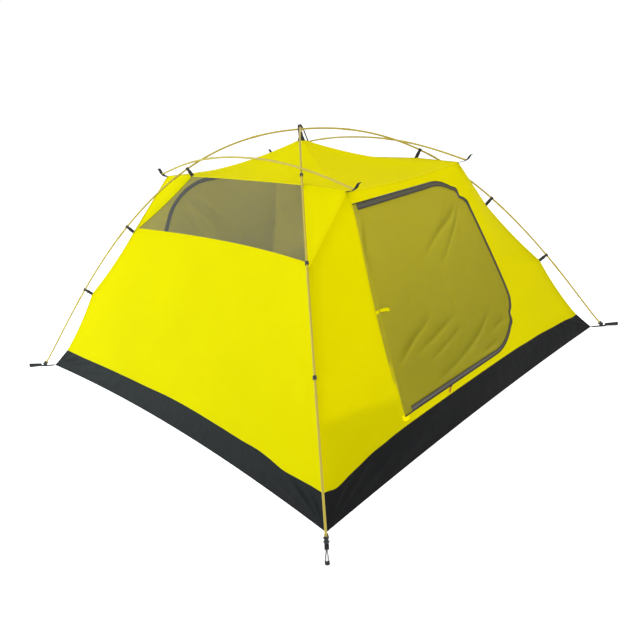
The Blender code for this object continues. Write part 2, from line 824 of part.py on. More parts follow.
def make_tie_back(name, end):
    """Loop of the wall's own cloth that holds the rolled door, laid over the leaf."""
    root = TIE_WIDTH * 0.36
    bulb = TIE_WIDTH / 2
    start = HINGE_PLAY + TIE_THICK * 2
    outline = [(start, -root), (TIE_LENGTH * 0.6, -root), (TIE_LENGTH - bulb, -bulb)]
    for i in range(1, 8):
        angle = -math.pi / 2 + math.pi * i / 8
        outline.append((TIE_LENGTH - bulb + bulb * math.cos(angle), bulb * math.sin(angle)))
    outline += [(TIE_LENGTH - bulb, bulb), (TIE_LENGTH * 0.6, root), (start, root)]
    along = turned(on_wall(1, 0) - on_wall(0, 0), end)
    frame = frame_from(turned(hinge_point(TIE_UP, GAP), end), along, turned(wall_out, end))
    return prism(name, outline, [], TIE_THICK, frame, "yellow_nylon")


def make_door(end, word):
    chain_near = GAP + GAP / 3
    chain_far = chain_near + ZIP_CHAIN
    tape_near = chain_far + GAP + GAP / 3
    tape_far = tape_near + ZIP_TAPE
    zip_band(word + "_zip_chain", end, chain_near, chain_far, ZIP_PROUD, TAPE_CLOTH, "zip_chain")
    zip_band(word + "_zip_tape", end, tape_near, tape_far, 0.0, TAPE_CLOTH, "zip_tape")
    leaf_sheet(word + "_door_mesh", end, tape_far + GAP, HINGE_PLAY, 0.0, CLOTH, "door_mesh")
    inner_depth = TAPE_CLOTH + LEAF_PLAY
    leaf_sheet(word + "_door_inner", end, tape_near, HINGE_PLAY * 4, inner_depth, CLOTH, "yellow_nylon")
    make_zip_slider(word + "_zip_slider", end)
    make_tie_back(word + "_tie_back", end)


# Roof: one sheet from the brow and window seams up to the peak, hollow between its ridges.

def roof_rim():
    """Rim of the roof, once round, as the panels under it end."""
    quarter = []
    for i in range(9):
        t = -1 + i / 4
        up = wall_rise - BROW_EDGE_SAG * (1 - t * t)
        quarter.append(on_wall(BROW_X * t, up))
    right_gusset = [mirrored(brow_corner, 1, -1).lerp(mirrored(top_corner, 1, -1), i / 3) for i in range(1, 3)]
    side = side_row(top_corner, 0.0, 0.0)
    left_gusset = [mirrored(top_corner, 1, 1).lerp(mirrored(brow_corner, 1, 1), i / 3) for i in range(1, 3)]
    half = quarter + right_gusset + side + left_gusset
    return half + [turned(p, 1) for p in half]


def make_roof():
    rim = roof_rim()
    peak = Vector((0, 0, PEAK_HEIGHT))
    outer = []
    for r in range(ROOF_RINGS):
        t = r / ROOF_RINGS
        for p in rim:
            flat = p.lerp(peak, t)
            flat.z = p.z + (peak.z - p.z) * t ** ROOF_SWEEP
            outer.append(flat)
    outer.append(peak)
    count = len(rim)
    faces = grid_faces(ring_table(ROOF_RINGS, count))
    last = (ROOF_RINGS - 1) * count
    faces += [(last + i, last + (i + 1) % count, len(outer) - 1) for i in range(count)]
    faces = facing(outer, faces, Vector((0, 0, 1)))
    inner = [p - Vector((0, 0, CLOTH)) for p in outer]
    return shell("roof", outer, inner, faces, "yellow_nylon")


# Tub floor: a flat sheet and four low walls of coated cloth.

def hem_points(length, half_width, bow, steps):
    """One edge of the floor along its own length, pulled in towards the middle."""
    points = []
    for i in range(steps + 1):
        u = -1 + 2 * i / steps
        points.append((length * u, half_width - bow * (1 - u * u)))
    return points


def make_tub():
    half_x = FLOOR_X / 2
    half_y = FLOOR_Y / 2
    back = GROUND_CLOTH + GAP
    foot = GROUND_CLOTH + GAP
    steps = SIDE_STEPS
    sheet = []
    for side, end in ((1, -1), (1, 1), (-1, 1), (-1, -1)):
        if side * end < 0:
            edge = hem_points(half_x, half_y, END_HEM_BOW, steps)
            sheet += [(end * -x, end * y) for x, y in edge[:-1]]
        else:
            edge = hem_points(half_y, half_x, SIDE_HEM_BOW, steps)
            sheet += [(side * x, side * y) for y, x in edge[:-1]]
    prism("groundsheet", sheet, [], GROUND_CLOTH, Matrix.Identity(4), "tub_cloth")
    for side, word in ((-1, "left"), (1, "right")):
        low = hem_points(half_y - back, half_x, SIDE_HEM_BOW, steps)
        high = hem_points(tub_corner.y - back, tub_corner.x, TUB_TOP_BOW, steps)
        rows = [[Vector((side * x, y, foot)) for y, x in low]]
        rows.append([Vector((side * x, y, TUB_HEIGHT)) for y, x in high])
        grid_shell(word + "_tub_wall", rows, Vector((-side * GROUND_CLOTH, 0, 0)), "tub_cloth")
    for end, word in ((-1, "front"), (1, "rear")):
        low = hem_points(half_x - back, half_y, END_HEM_BOW, steps)
        high = hem_points(tub_corner.x - back, tub_corner.y, 0.0, steps)
        rows = [[Vector((x, end * y, foot)) for x, y in low]]
        rows.append([Vector((x, end * y, TUB_HEIGHT)) for x, y in high])
        grid_shell(word + "_tub_wall", rows, Vector((0, -end * GROUND_CLOTH, 0)), "tub_cloth")


# Webbing: the corner straps with their peg loops, the brow tabs and the crown strap.

def make_corner_strap(name, side, end):
    """Strap sewn to the floor corner, under the pole foot, folded into a peg loop."""
    corner = mirrored(floor_corner, side, end)
    outward = mirrored(diagonal, side, end)
    frame = frame_from(corner, outward, Vector((0, 0, 1)))
    half = STRAP_WIDTH / 2
    strip = [(GAP * 3, -half * 0.1), (half, -half), (LOOP_START + 0.004, -half * 0.8)]
    strip += [(x, -y) for x, y in reversed(strip)]
    strap = prism(name, strip, [], STRAP_THICK, frame, "black_webbing")
    outer = loop_outline(LOOP_START, LOOP_START + LOOP_LENGTH, LOOP_WIDTH / 2)
    inner = loop_outline(LOOP_START + STRAP_THICK * 4, LOOP_START + LOOP_LENGTH - STRAP_THICK,
                         LOOP_WIDTH / 2 - STRAP_THICK)
    loop = prism(name + "_loop_shape", outer, [inner], LOOP_HEIGHT, frame, "black_webbing")
    join_solid(strap, loop)
    return strap


def loop_outline(start, stop, half_width):
    """Drop shape: a point at the start and a round end."""
    centre = stop - half_width
    points = []
    lean = math.acos(half_width / (centre - start))
    for i in range(13):
        angle = math.pi - lean - (2 * math.pi - 2 * lean) * i / 12
        points.append((centre + half_width * math.cos(angle), half_width * math.sin(angle)))
    points.append((start, 0.0))
    return points


def make_brow_tab(name, side, end):
    """Webbing from the brow corner, under the end of the brow pole and up past it."""
    tip = Vector((brow_tip.y, brow_tip.z))
    before = brow_pole_point(brow_tip.y * 22 / 24, BROW_RISE)
    out = (tip - Vector((before.y, before.z))).normalized()
    across = Vector((-out.y, out.x))
    seat = tip + out * GAP - across * (POLE_R + GAP)
    start = Vector((BROW_Y + STRAP_THICK, BROW_Z - CLOTH))
    tail = Vector((math.cos(TAB_RISE), math.sin(TAB_RISE)))
    end_point = seat + tail * TAB_TAIL
    curl = end_point + Vector((TAB_TAIL * 0.18, 0))
    top = [start, seat, end_point, curl]
    down = Vector((math.sin(TAB_RISE / 2), -math.cos(TAB_RISE / 2))) * STRAP_THICK
    bottom = [start + Vector((0, -STRAP_THICK)), seat + down * 1.1, end_point + down, curl + down]
    outline = [(p.x, p.y) for p in top + bottom[::-1]]
    origin = Vector((side * brow_pole_x - end * TAB_WIDTH / 2, 0, 0))
    frame = frame_from(origin, Vector((0, end, 0)), Vector((end, 0, 0)))
    return prism(name, outline, [], TAB_WIDTH, frame, "black_webbing")


def roof_height(x):
    """Height of the roof's outer face close to its peak, at a distance from it along X."""
    ring = (ROOF_RINGS - 1) / ROOF_RINGS
    drop = (PEAK_HEIGHT - top_corner.z) * (1 - ring ** ROOF_SWEEP)
    return PEAK_HEIGHT - drop * x / (roof_mid_x * (1 - ring))


crown_pole_top = CROSSING_HEIGHT + STACK + POLE_R


def make_crown_cap():
    """Moulded saddle over the upper pole at the crossing, under the crown strap."""
    inner = POLE_R + GAP
    half = inner + CLIP_WALL
    outline = [(-half, -POLE_R / 2), (-inner, -POLE_R / 2)]
    outline += [(-inner * math.cos(math.pi * i / 10), inner * math.sin(math.pi * i / 10)) for i in range(11)]
    outline += [(inner, -POLE_R / 2), (half, -POLE_R / 2), (half, POLE_R)]
    top = POLE_R + GAP + CROWN_PAD
    outline += [(half * 0.6, top), (-half * 0.6, top), (-half, POLE_R)]
    middle = Vector((0, 0, CROSSING_HEIGHT + STACK))
    along = Vector((diagonal.x, diagonal.y, 0))
    across = Vector((-diagonal.y, diagonal.x, 0))
    frame = frame_from(middle - along * (CROWN_WIDTH / 2), across, along)
    return prism("crown_cap", outline, [], CROWN_WIDTH, frame, "black_plastic")


def make_crown_strap():
    """Band sewn to the roof on both sides of the peak, over the crossing of the poles."""
    over = crown_pole_top + GAP + CROWN_PAD + GAP
    near_foot = roof_height(CROWN_NEAR) + GAP * 2
    far_foot = roof_height(CROWN_FAR) + GAP * 2
    outline = [
        (-CROWN_NEAR - CROWN_THICK, near_foot),
        (-CROWN_NEAR, near_foot),
        (-CROWN_NEAR, over - CROWN_THICK),
        (-CROWN_NEAR * 0.7, over),
        (CROWN_NEAR * 0.7, over),
        (CROWN_NEAR, over - CROWN_THICK),
        (CROWN_FAR, far_foot),
        (CROWN_FAR + CROWN_THICK * 1.1, far_foot),
        (CROWN_NEAR + CROWN_THICK, over),
        (CROWN_NEAR * 0.7, over + CROWN_THICK),
        (-CROWN_NEAR * 0.7, over + CROWN_THICK),
        (-CROWN_NEAR - CROWN_THICK, over),
    ]
    frame = frame_from(Vector((0, CROWN_WIDTH / 2, 0)), Vector((1, 0, 0)), Vector((0, -1, 0)))
    return prism("crown_strap", outline, [], CROWN_WIDTH, frame, "black_webbing")


def build():
    clear_scene()
    make_tub()
    make_side(-1, "left")
    make_side(1, "right")
    for end, word in ((-1, "front"), (1, "rear")):
        make_end_wall(word + "_wall", end)
        make_door(end, word)
        for side, hand in ((-1, "left"), (1, "right")):
            track = high_track if side == end else low_track
            corner = word + "_" + hand
            make_gusset(corner + "_gusset", side, end)
            make_pole_foot(corner + "_pole_foot", side, end, track)
            make_corner_strap(corner + "_strap", side, end)
            make_brow_tab(corner + "_brow_tab", side, end)
            for clip, up in zip(CLIP_NAMES, CLIP_UPS):
                make_clip(corner + "_" + clip + "_clip", track, up, side, end)
    make_roof()
    make_long_pole("upper_long_pole", high_track, 1)
    make_long_pole("lower_long_pole", low_track, -1)
    make_brow_pole("left_brow_pole", -1)
    make_brow_pole("right_brow_pole", 1)
    make_crown_cap()
    make_crown_strap()


build()
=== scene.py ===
import math

import bmesh
import bpy
from mathutils import Matrix, Vector
from mathutils.geometry import delaunay_2d_cdt


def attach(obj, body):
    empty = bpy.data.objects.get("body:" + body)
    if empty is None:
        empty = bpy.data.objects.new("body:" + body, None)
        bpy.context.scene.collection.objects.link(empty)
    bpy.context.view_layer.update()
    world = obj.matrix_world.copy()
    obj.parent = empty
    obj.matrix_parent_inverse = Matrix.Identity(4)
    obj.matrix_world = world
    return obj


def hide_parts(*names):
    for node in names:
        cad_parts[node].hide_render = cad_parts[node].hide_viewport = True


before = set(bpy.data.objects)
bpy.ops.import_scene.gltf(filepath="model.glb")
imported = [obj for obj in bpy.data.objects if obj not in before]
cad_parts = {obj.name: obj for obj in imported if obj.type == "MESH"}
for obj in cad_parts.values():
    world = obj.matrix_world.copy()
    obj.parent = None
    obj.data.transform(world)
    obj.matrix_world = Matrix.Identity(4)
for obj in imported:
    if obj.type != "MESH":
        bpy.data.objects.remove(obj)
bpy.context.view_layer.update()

# Studio and camera. The tent stands on a plain white floor under a soft white sky. A cool softbox
# at the rear left shines low on the tub wall, a warm one lights the door side and a third hangs
# above. The camera stands off the front left corner, at chest height.

CAMERA_PLACE = (-2.1119, -2.2413, 1.3684)
CAMERA_TURN = math.radians(-43.60)
CAMERA_DROP = math.radians(21.49)
CAMERA_ROLL = -0.085
CAMERA_LENS = 33.93
LIGHT_AIM = Vector((0.0, 0.0, 0.4))


def placed(name, data):
    """A new object of some data, linked to the scene."""
    item = bpy.data.objects.new(name, data)
    bpy.context.scene.collection.objects.link(item)
    return item


def put(tree, kind, sockets=None, **settings):
    """A node with its settings, and its sockets given a value or linked from another node."""
    node = tree.nodes.new(kind)
    for key, value in settings.items():
        setattr(node, key, value)
    for key, value in (sockets or {}).items():
        if isinstance(value, bpy.types.NodeSocket):
            tree.links.new(value, node.inputs[key])
        else:
            node.inputs[key].default_value = value
    return node


def new_finish(name, colour, roughness, shine=0.3, metallic=0.0):
    """A material with its own Principled shader, ready for its pattern."""
    material = bpy.data.materials.new(name)
    material.use_nodes = True
    shader = material.node_tree.nodes["Principled BSDF"]
    shader.inputs["Base Color"].default_value = (*colour, 1.0)
    shader.inputs["Roughness"].default_value = roughness
    shader.inputs["Specular IOR Level"].default_value = shine
    shader.inputs["Metallic"].default_value = metallic
    return material, material.node_tree, shader


camera_data = bpy.data.cameras.new("camera")
camera_data.lens = CAMERA_LENS
camera_data.sensor_width = 36.0
camera_data.clip_end = 200.0
camera = placed("camera", camera_data)
across = Vector((math.cos(CAMERA_TURN), math.sin(CAMERA_TURN), 0.0))
back = Vector((
    math.sin(CAMERA_TURN) * math.cos(CAMERA_DROP),
    -math.cos(CAMERA_TURN) * math.cos(CAMERA_DROP),
    math.sin(CAMERA_DROP),
))
over = back.cross(across)
tilt = math.cos(CAMERA_ROLL)
lean = math.sin(CAMERA_ROLL)
camera_axes = Matrix((across * tilt + over * lean, over * tilt - across * lean, back)).transposed()
camera.matrix_world = Matrix.Translation(CAMERA_PLACE) @ camera_axes.to_4x4()
bpy.context.scene.camera = camera
bpy.context.scene.view_settings.view_transform = "Standard"


def softbox(name, towards, distance, width, height, radiance, colour):
    """A rectangular area light that faces the middle of the tent from a direction."""
    data = bpy.data.lights.new(name, "AREA")
    data.shape = "RECTANGLE"
    data.size = width
    data.size_y = height
    data.energy = radiance * math.pi * width * height
    data.color = colour
    lamp = placed(name, data)
    aim = Vector(towards).normalized()
    lamp.location = LIGHT_AIM + aim * distance
    lamp.rotation_euler = aim.to_track_quat("Z", "Y").to_euler()


softbox("cool_softbox", (-0.80, 0.62, 0.34), 4.2, 3.4, 2.4, 3.3, (0.78, 1.0, 1.0))
softbox("warm_softbox", (-0.30, -0.90, 0.50), 4.6, 3.0, 2.4, 1.6, (1.0, 0.97, 0.90))
softbox("top_softbox", (-0.10, -0.05, 1.0), 4.0, 3.6, 3.6, 1.6, (1.0, 0.99, 0.96))

SKY_SEEN = (1.0, 1.0, 1.0, 1.0)
SKY_LIGHT = (0.95, 0.98, 1.0, 1.0)
SKY_STRENGTH = 0.68

sky = bpy.data.worlds.new("sky")
sky.use_nodes = True
bpy.context.scene.world = sky
sky_tree = sky.node_tree
sky_seen = sky_tree.nodes["Background"]
sky_seen.inputs["Color"].default_value = SKY_SEEN
sky_light = put(sky_tree, "ShaderNodeBackground", {"Color": SKY_LIGHT, "Strength": SKY_STRENGTH})
sky_path = put(sky_tree, "ShaderNodeLightPath")
sky_mix = put(sky_tree, "ShaderNodeMixShader", {
    "Fac": sky_path.outputs["Is Camera Ray"], 1: sky_light.outputs[0], 2: sky_seen.outputs[0]})
sky_tree.links.new(sky_mix.outputs[0], sky_tree.nodes["World Output"].inputs["Surface"])

FLOOR_RADIUS = 60.0
FLOOR_DROP = 0.0006
FLOOR_GLOW = 0.60

floor_mesh = bpy.data.meshes.new("floor")
floor_work = bmesh.new()
bmesh.ops.create_circle(floor_work, cap_ends=True, segments=96, radius=FLOOR_RADIUS)
bmesh.ops.translate(floor_work, verts=floor_work.verts, vec=(0.0, 0.0, -FLOOR_DROP))
floor_work.to_mesh(floor_mesh)
floor_work.free()
studio_floor = placed("studio_floor", floor_mesh)

floor_paint, _, floor_shader = new_finish("studio_paint", (0.90, 0.90, 0.90), 1.0, 0.0)
floor_shader.inputs["Emission Color"].default_value = (1.0, 1.0, 1.0, 1.0)
floor_shader.inputs["Emission Strength"].default_value = FLOOR_GLOW
floor_mesh.materials.append(floor_paint)


# Long poles. Two poles of nine gold anodised alloy tubes each, on a shock cord, pushed together
# end to end. They run corner to corner and cross over the peak, the upper one from the front left.
# Each joint is a short sleeve that stands a little proud of the tube.

FLOOR_HALF_X = 1.050
FLOOR_HALF_Y = 1.070
FOOT_OUTSIDE = 0.056
POLE_RADIUS = 0.00425
SLEEVE_RADIUS = 0.00495
SLEEVE_LENGTH = 0.042
LONG_POLE_TUBES = 9
CROSSING_HEIGHT = 1.166
HALF_STACK = 0.0044
BALL_HEIGHT = 0.0113
BALL_RADIUS = 0.009
ARCH_CROWN = 2.2
ARCH_LEG = 1.107

floor_corner = Vector((FLOOR_HALF_X, FLOOR_HALF_Y, 0.0))
diagonal = floor_corner.normalized()
foot_reach = floor_corner.length + FOOT_OUTSIDE
LEFT, RIGHT, FRONT, REAR = -1, 1, -1, 1
SIDES = (("left", LEFT), ("right", RIGHT))
ENDS = (("front", FRONT), ("rear", REAR))
CORNERS = [(f"{end_word}_{side_word}", side, end)
           for end_word, end in ENDS for side_word, side in SIDES]
X_WAY = Vector((1.0, 0.0, 0.0))
Y_WAY = Vector((0.0, 1.0, 0.0))
Z_WAY = Vector((0.0, 0.0, 1.0))
TRACK_STEPS = 400
POLE_STEPS = 90


def blended(tree, factor, first, second, blend="MIX"):
    """Two colours, plain or from other nodes, put together by a factor."""
    sockets = {0: factor, 6: first, 7: second}
    return put(tree, "ShaderNodeMix", sockets, data_type="RGBA", blend_type=blend).outputs[2]


def between(tree, factor, low, high):
    """A colour between two colours, by a factor from another node."""
    return blended(tree, factor, (*low, 1.0), (*high, 1.0))


def spread(tree, factor, low, high):
    """A number between two numbers, by a factor from another node."""
    ends = {"Value": factor, "To Min": low, "To Max": high}
    return put(tree, "ShaderNodeMapRange", ends).outputs["Result"]


def object_place(tree):
    """The place of a point in its own object."""
    return put(tree, "ShaderNodeTexCoord").outputs["Object"]


def noise(tree, place, scale, detail, roughness=0.5):
    """A cloudy pattern over a place, from 0 to 1."""
    return put(tree, "ShaderNodeTexNoise", {"Vector": place, "Scale": scale, "Detail": detail,
                                            "Roughness": roughness}).outputs["Fac"]


def paint(tree, shader, tone, roughness=None):
    """Give a shader a colour, and a roughness too if there is one."""
    tree.links.new(tone, shader.inputs["Base Color"])
    if roughness is not None:
        tree.links.new(roughness, shader.inputs["Roughness"])


def emboss(tree, shader, strength, distance, height):
    """Give a shader a bump from a height pattern."""
    bump = put(tree, "ShaderNodeBump", {"Strength": strength, "Distance": distance, "Height": height})
    tree.links.new(bump.outputs["Normal"], shader.inputs["Normal"])


def geometry_tree(name, inputs):
    """An empty Geometry Nodes tree with a geometry in and out and the named inputs."""
    tree = bpy.data.node_groups.new(name, "GeometryNodeTree")
    tree.interface.new_socket(name="Geometry", in_out="INPUT", socket_type="NodeSocketGeometry")
    for label, kind in inputs:
        tree.interface.new_socket(name=label, in_out="INPUT", socket_type="NodeSocket" + kind)
    tree.interface.new_socket(name="Geometry", in_out="OUTPUT", socket_type="NodeSocketGeometry")
    return tree, tree.nodes.new("NodeGroupInput").outputs


def close_tree(tree, geometry, material):
    """End a tree with real geometry in one material."""
    real = put(tree, "GeometryNodeRealizeInstances", {"Geometry": geometry})
    dressed = put(tree, "GeometryNodeSetMaterial", {"Geometry": real.outputs[0], "Material": material})
    put(tree, "NodeGroupOutput", {"Geometry": dressed.outputs[0]})


def grown(name, source, tree, values):
    """Run a tree on a source mesh and keep what it makes as a plain mesh."""
    item = placed(name, source)
    modifier = item.modifiers.new("build", "NODES")
    modifier.node_group = tree
    for socket in tree.interface.items_tree:
        if socket.in_out == "INPUT" and socket.name in values:
            modifier[socket.identifier] = values[socket.name]
    graph = bpy.context.evaluated_depsgraph_get()
    made = bpy.data.meshes.new_from_object(item.evaluated_get(graph), depsgraph=graph)
    item.modifiers.clear()
    item.data = made
    return item


def chain_mesh(name, chains, lifts=None):
    """Open chains of points joined by edges, each point with the direction off its surface."""
    points = [point for chain in chains for point in chain]
    edges = []
    start = 0
    for chain in chains:
        edges += [(start + i, start + i + 1) for i in range(len(chain) - 1)]
        start += len(chain)
    mesh = bpy.data.meshes.new(name)
    mesh.from_pydata(points, edges, [])
    if lifts:
        layer = mesh.attributes.new("lift", "FLOAT_VECTOR", "POINT")
        flat = [number for chain in lifts for lift in chain for number in lift]
        layer.data.foreach_set("vector", flat)
    return mesh


def shares(steps):
    """Even steps from 0 to 1, both ends among them."""
    return [i / steps for i in range(steps + 1)]


def spans(steps):
    """Even steps from -1 to 1, both ends among them."""
    return [2 * i / steps - 1 for i in range(steps + 1)]


def arch(share):
    """Height share of the arch at a share of its half span."""
    return (1 - share ** ARCH_CROWN) ** ARCH_LEG


def long_pole_point(reach, crown):
    """A point of a long pole at a distance from the middle, below its crown."""
    height = BALL_HEIGHT + (crown - BALL_HEIGHT) * arch(min(reach / foot_reach, 1.0))
    return Vector((diagonal.x * reach, diagonal.y * reach, height))


def walk_long_pole(crown):
    """Finely spaced points and their distance up the pole from the foot."""
    points = [long_pole_point(foot_reach * (1 - t), crown) for t in shares(TRACK_STEPS)]
    walked = [0.0]
    for before, after in zip(points, points[1:]):
        walked.append(walked[-1] + (after - before).length)
    return points, walked


def point_up(track, distance):
    """The point of a track at a distance up from its foot."""
    points, walked = track
    for i in range(1, len(points)):
        if walked[i] >= distance:
            t = (distance - walked[i - 1]) / (walked[i] - walked[i - 1])
            return points[i - 1].lerp(points[i], t)
    return points[-1].copy()


def mirrored(point, side, end):
    """A point of the first quarter taken to the corner of a side and an end."""
    return Vector((point.x * side, point.y * end, point.z))


low_track = walk_long_pole(CROSSING_HEIGHT - HALF_STACK)
high_track = walk_long_pole(CROSSING_HEIGHT + HALF_STACK)


def pole_tree():
    """A tube along an edge chain, with a sleeve over each joint between its sections."""
    tree, given = geometry_tree("pole_tubes", (
        ("Tube Radius", "Float"), ("Sections", "Int"), ("Sleeve Radius", "Float"),
        ("Sleeve Length", "Float"), ("Finish", "Material")))
    route = put(tree, "GeometryNodeMeshToCurve", {"Mesh": given["Geometry"]})
    ring = put(tree, "GeometryNodeCurvePrimitiveCircle", {"Resolution": 20, "Radius": given["Tube Radius"]})
    tube = put(tree, "GeometryNodeCurveToMesh", {
        "Curve": route.outputs[0], "Profile Curve": ring.outputs[0], "Fill Caps": True})
    ends = put(tree, "ShaderNodeMath", {0: given["Sections"], 1: 1.0}, operation="ADD")
    number = put(tree, "GeometryNodeInputIndex").outputs[0]
    left_over = put(tree, "ShaderNodeMath", {0: given["Sections"], 1: number}, operation="SUBTRACT")
    inner = put(tree, "ShaderNodeMath", {0: number, 1: left_over.outputs[0]}, operation="MULTIPLY")
    joints = put(tree, "GeometryNodeCurveToPoints", {"Curve": route.outputs[0], "Count": ends.outputs[0]})
    sleeve = put(tree, "GeometryNodeMeshCylinder", {
        "Vertices": 24, "Side Segments": 3, "Radius": given["Sleeve Radius"],
        "Depth": given["Sleeve Length"]})
    turn = put(tree, "FunctionNodeAlignRotationToVector", {"Vector": joints.outputs["Tangent"]}, axis="Z")
    sleeves = put(tree, "GeometryNodeInstanceOnPoints", {
        "Points": joints.outputs["Points"], "Selection": inner.outputs[0],
        "Instance": sleeve.outputs["Mesh"], "Rotation": turn.outputs["Rotation"]})
    both = put(tree, "GeometryNodeJoinGeometry")
    tree.links.new(tube.outputs[0], both.inputs[0])
    tree.links.new(sleeves.outputs[0], both.inputs[0])
    close_tree(tree, both.outputs[0], given["Finish"])
    return tree


def gold_finish():
    """Anodised alloy: pale gold with a faint fine grain and duller patches."""
    material, tree, shader = new_finish("gold_alloy", (0.44, 0.34, 0.045), 0.45, 0.3, 0.25)
    place = object_place(tree)
    patches = noise(tree, place, 9.0, 3.0)
    tone = between(tree, patches, (0.40, 0.31, 0.04), (0.48, 0.37, 0.05))
    paint(tree, shader, tone, spread(tree, patches, 0.26, 0.42))
    emboss(tree, shader, 0.15, 0.0001, noise(tree, place, 900.0, 2.0))
    return material


def rounded(item, angle=40.0):
    """Smooth shading with the edges sharper than an angle kept crisp."""
    item.data.shade_smooth()
    item.data.set_sharp_from_angle(angle=math.radians(angle))
    return item


gold = gold_finish()
tube_maker = pole_tree()
POLE_FIT = {"Tube Radius": POLE_RADIUS, "Sleeve Radius": SLEEVE_RADIUS,
            "Sleeve Length": SLEEVE_LENGTH, "Finish": gold}

for name, track, twist in (("upper_long_pole", high_track, 1), ("lower_long_pole", low_track, -1)):
    length = track[1][-1]
    leg = [point_up(track, length * t) for t in shares(POLE_STEPS)]
    leg[0] = leg[0] + (leg[1] - leg[0]).normalized() * (BALL_RADIUS / 3 + 0.0003)
    route = [mirrored(p, -twist, FRONT) for p in leg] + [mirrored(p, twist, REAR) for p in leg[-2::-1]]
    pole = grown(name + "_tubes", chain_mesh(name, [route]), tube_maker,
                 {**POLE_FIT, "Sections": LONG_POLE_TUBES})
    rounded(pole)
    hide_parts(name)
    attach(pole, "tent")


# Brow poles. Two short poles of three tubes each that spread the roof above the doors. Each runs
# from front to rear over a leg of both long poles, and its ends sit on the brow tabs.

BROW_X = 0.387
BROW_Y = 0.6425
BROW_Z = 0.968
BROW_TIP_OUT = 0.042
BROW_TIP_UP = 0.010
BROW_RISE = 0.10242
BROW_POLE_TUBES = 3
BROW_STEPS = 80

brow_pole_x = BROW_X + POLE_RADIUS
brow_tip = Vector((brow_pole_x, BROW_Y + BROW_TIP_OUT, BROW_Z + BROW_TIP_UP))


def brow_pole_point(across):
    """A point of a brow pole at a distance from its middle."""
    share = min(abs(across) / brow_tip.y, 1.0)
    return Vector((brow_pole_x, across, brow_tip.z + BROW_RISE * arch(share)))


for word, side in SIDES:
    name = word + "_brow_pole"
    route = [mirrored(brow_pole_point(brow_tip.y * u), side, 1) for u in spans(BROW_STEPS)]
    pole = grown(name + "_tubes", chain_mesh(name, [route]), tube_maker,
                 {**POLE_FIT, "Sections": BROW_POLE_TUBES})
    rounded(pole)
    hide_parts(name)
    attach(pole, "tent")


# Pole feet. Four moulded black ball feet with two collars, a push fit over the ends of the long
# poles. Each ball stands on its corner strap.

FOOT_COLLAR = 0.012
FOOT_NECK = 0.0078
FOOT_LENGTH = 0.016


def plastic_finish():
    """Moulded black nylon: fine spark grain, a little duller where it is handled."""
    material, tree, shader = new_finish("black_plastic", (0.018, 0.018, 0.020), 0.42, 0.4)
    place = object_place(tree)
    worn = noise(tree, place, 70.0, 2.0)
    tone = between(tree, worn, (0.012, 0.012, 0.013), (0.035, 0.035, 0.038))
    paint(tree, shader, tone, spread(tree, worn, 0.34, 0.55))
    emboss(tree, shader, 0.25, 0.0002, noise(tree, place, 1400.0, 2.0))
    return material


def built(name, points, faces, material):
    """A closed rigid piece with its doubled points merged and its faces turned outwards."""
    work = bmesh.new()
    corners = [work.verts.new(p) for p in points]
    for face in faces:
        if len(set(face)) > 2:
            work.faces.new([corners[i] for i in face])
    bmesh.ops.remove_doubles(work, verts=work.verts, dist=1e-6)
    bmesh.ops.delete(work, geom=[v for v in work.verts if not v.link_faces], context="VERTS")
    bmesh.ops.dissolve_degenerate(work, dist=1e-6, edges=work.edges)
    bmesh.ops.recalc_face_normals(work, faces=work.faces)
    mesh = bpy.data.meshes.new(name)
    work.to_mesh(mesh)
    work.free()
    mesh.materials.append(material)
    return placed(name, mesh)


def quads(rows, columns, closed=False):
    """Faces between rows of points, all rows so many points long, joined round if closed."""
    faces = []
    for low in range(0, (rows - 1) * columns, columns):
        high = low + columns
        for i in range(columns if closed else columns - 1):
            near = (i + 1) % columns
            faces.append((low + i, low + near, high + near, high + i))
    return faces


def turned_piece(name, profile, axes, steps, material):
    """A profile of radius and height turned round the Z axis of some axes."""
    points = []
    for radius, height in profile:
        for i in range(steps):
            angle = 2 * math.pi * i / steps
            points.append(axes @ Vector((radius * math.cos(angle), radius * math.sin(angle), height)))
    return built(name, points, quads(len(profile), steps, True), material)


def axes_from(origin, along, up):
    """Axes with X along, Z up as near as can be, at an origin."""
    x = along.normalized()
    y = up.cross(x).normalized()
    z = x.cross(y)
    return Matrix.Translation(origin) @ Matrix((x, y, z)).transposed().to_4x4()


plastic = plastic_finish()
EASE = 0.0007
foot_profile = [(BALL_RADIUS * math.cos(math.radians(a)), BALL_RADIUS * math.sin(math.radians(a)))
                for a in range(-90, 1, 10)]
foot_profile += [
    (FOOT_COLLAR - EASE, 0.0), (FOOT_COLLAR, EASE), (FOOT_COLLAR, FOOT_LENGTH / 8 - EASE),
    (FOOT_COLLAR - EASE, FOOT_LENGTH / 8), (FOOT_NECK + EASE, FOOT_LENGTH / 4 - EASE),
    (FOOT_NECK, FOOT_LENGTH / 4), (FOOT_NECK, FOOT_LENGTH * 0.62),
    (FOOT_COLLAR - EASE * 2, FOOT_LENGTH * 0.75),
    (FOOT_COLLAR - EASE * 2, FOOT_LENGTH - EASE), (FOOT_COLLAR - EASE * 3, FOOT_LENGTH),
    (POLE_RADIUS + EASE * 2, FOOT_LENGTH), (POLE_RADIUS + EASE, FOOT_LENGTH - EASE * 2),
    (POLE_RADIUS + EASE, BALL_RADIUS / 3), (0.0, BALL_RADIUS / 3),
]
for name, side, end in CORNERS:
    track = high_track if side * end > 0 else low_track
    base = track[0][0]
    axis = (point_up(track, FOOT_LENGTH * 1.5) - base).normalized()
    axes = axes_from(mirrored(base, side, end), Vector((-end, side, 0)), mirrored(axis, side, end))
    foot = turned_piece(name + "_ball_foot", foot_profile, axes, 32, plastic)
    rounded(foot)
    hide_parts(name + "_pole_foot")
    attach(foot, "tent")


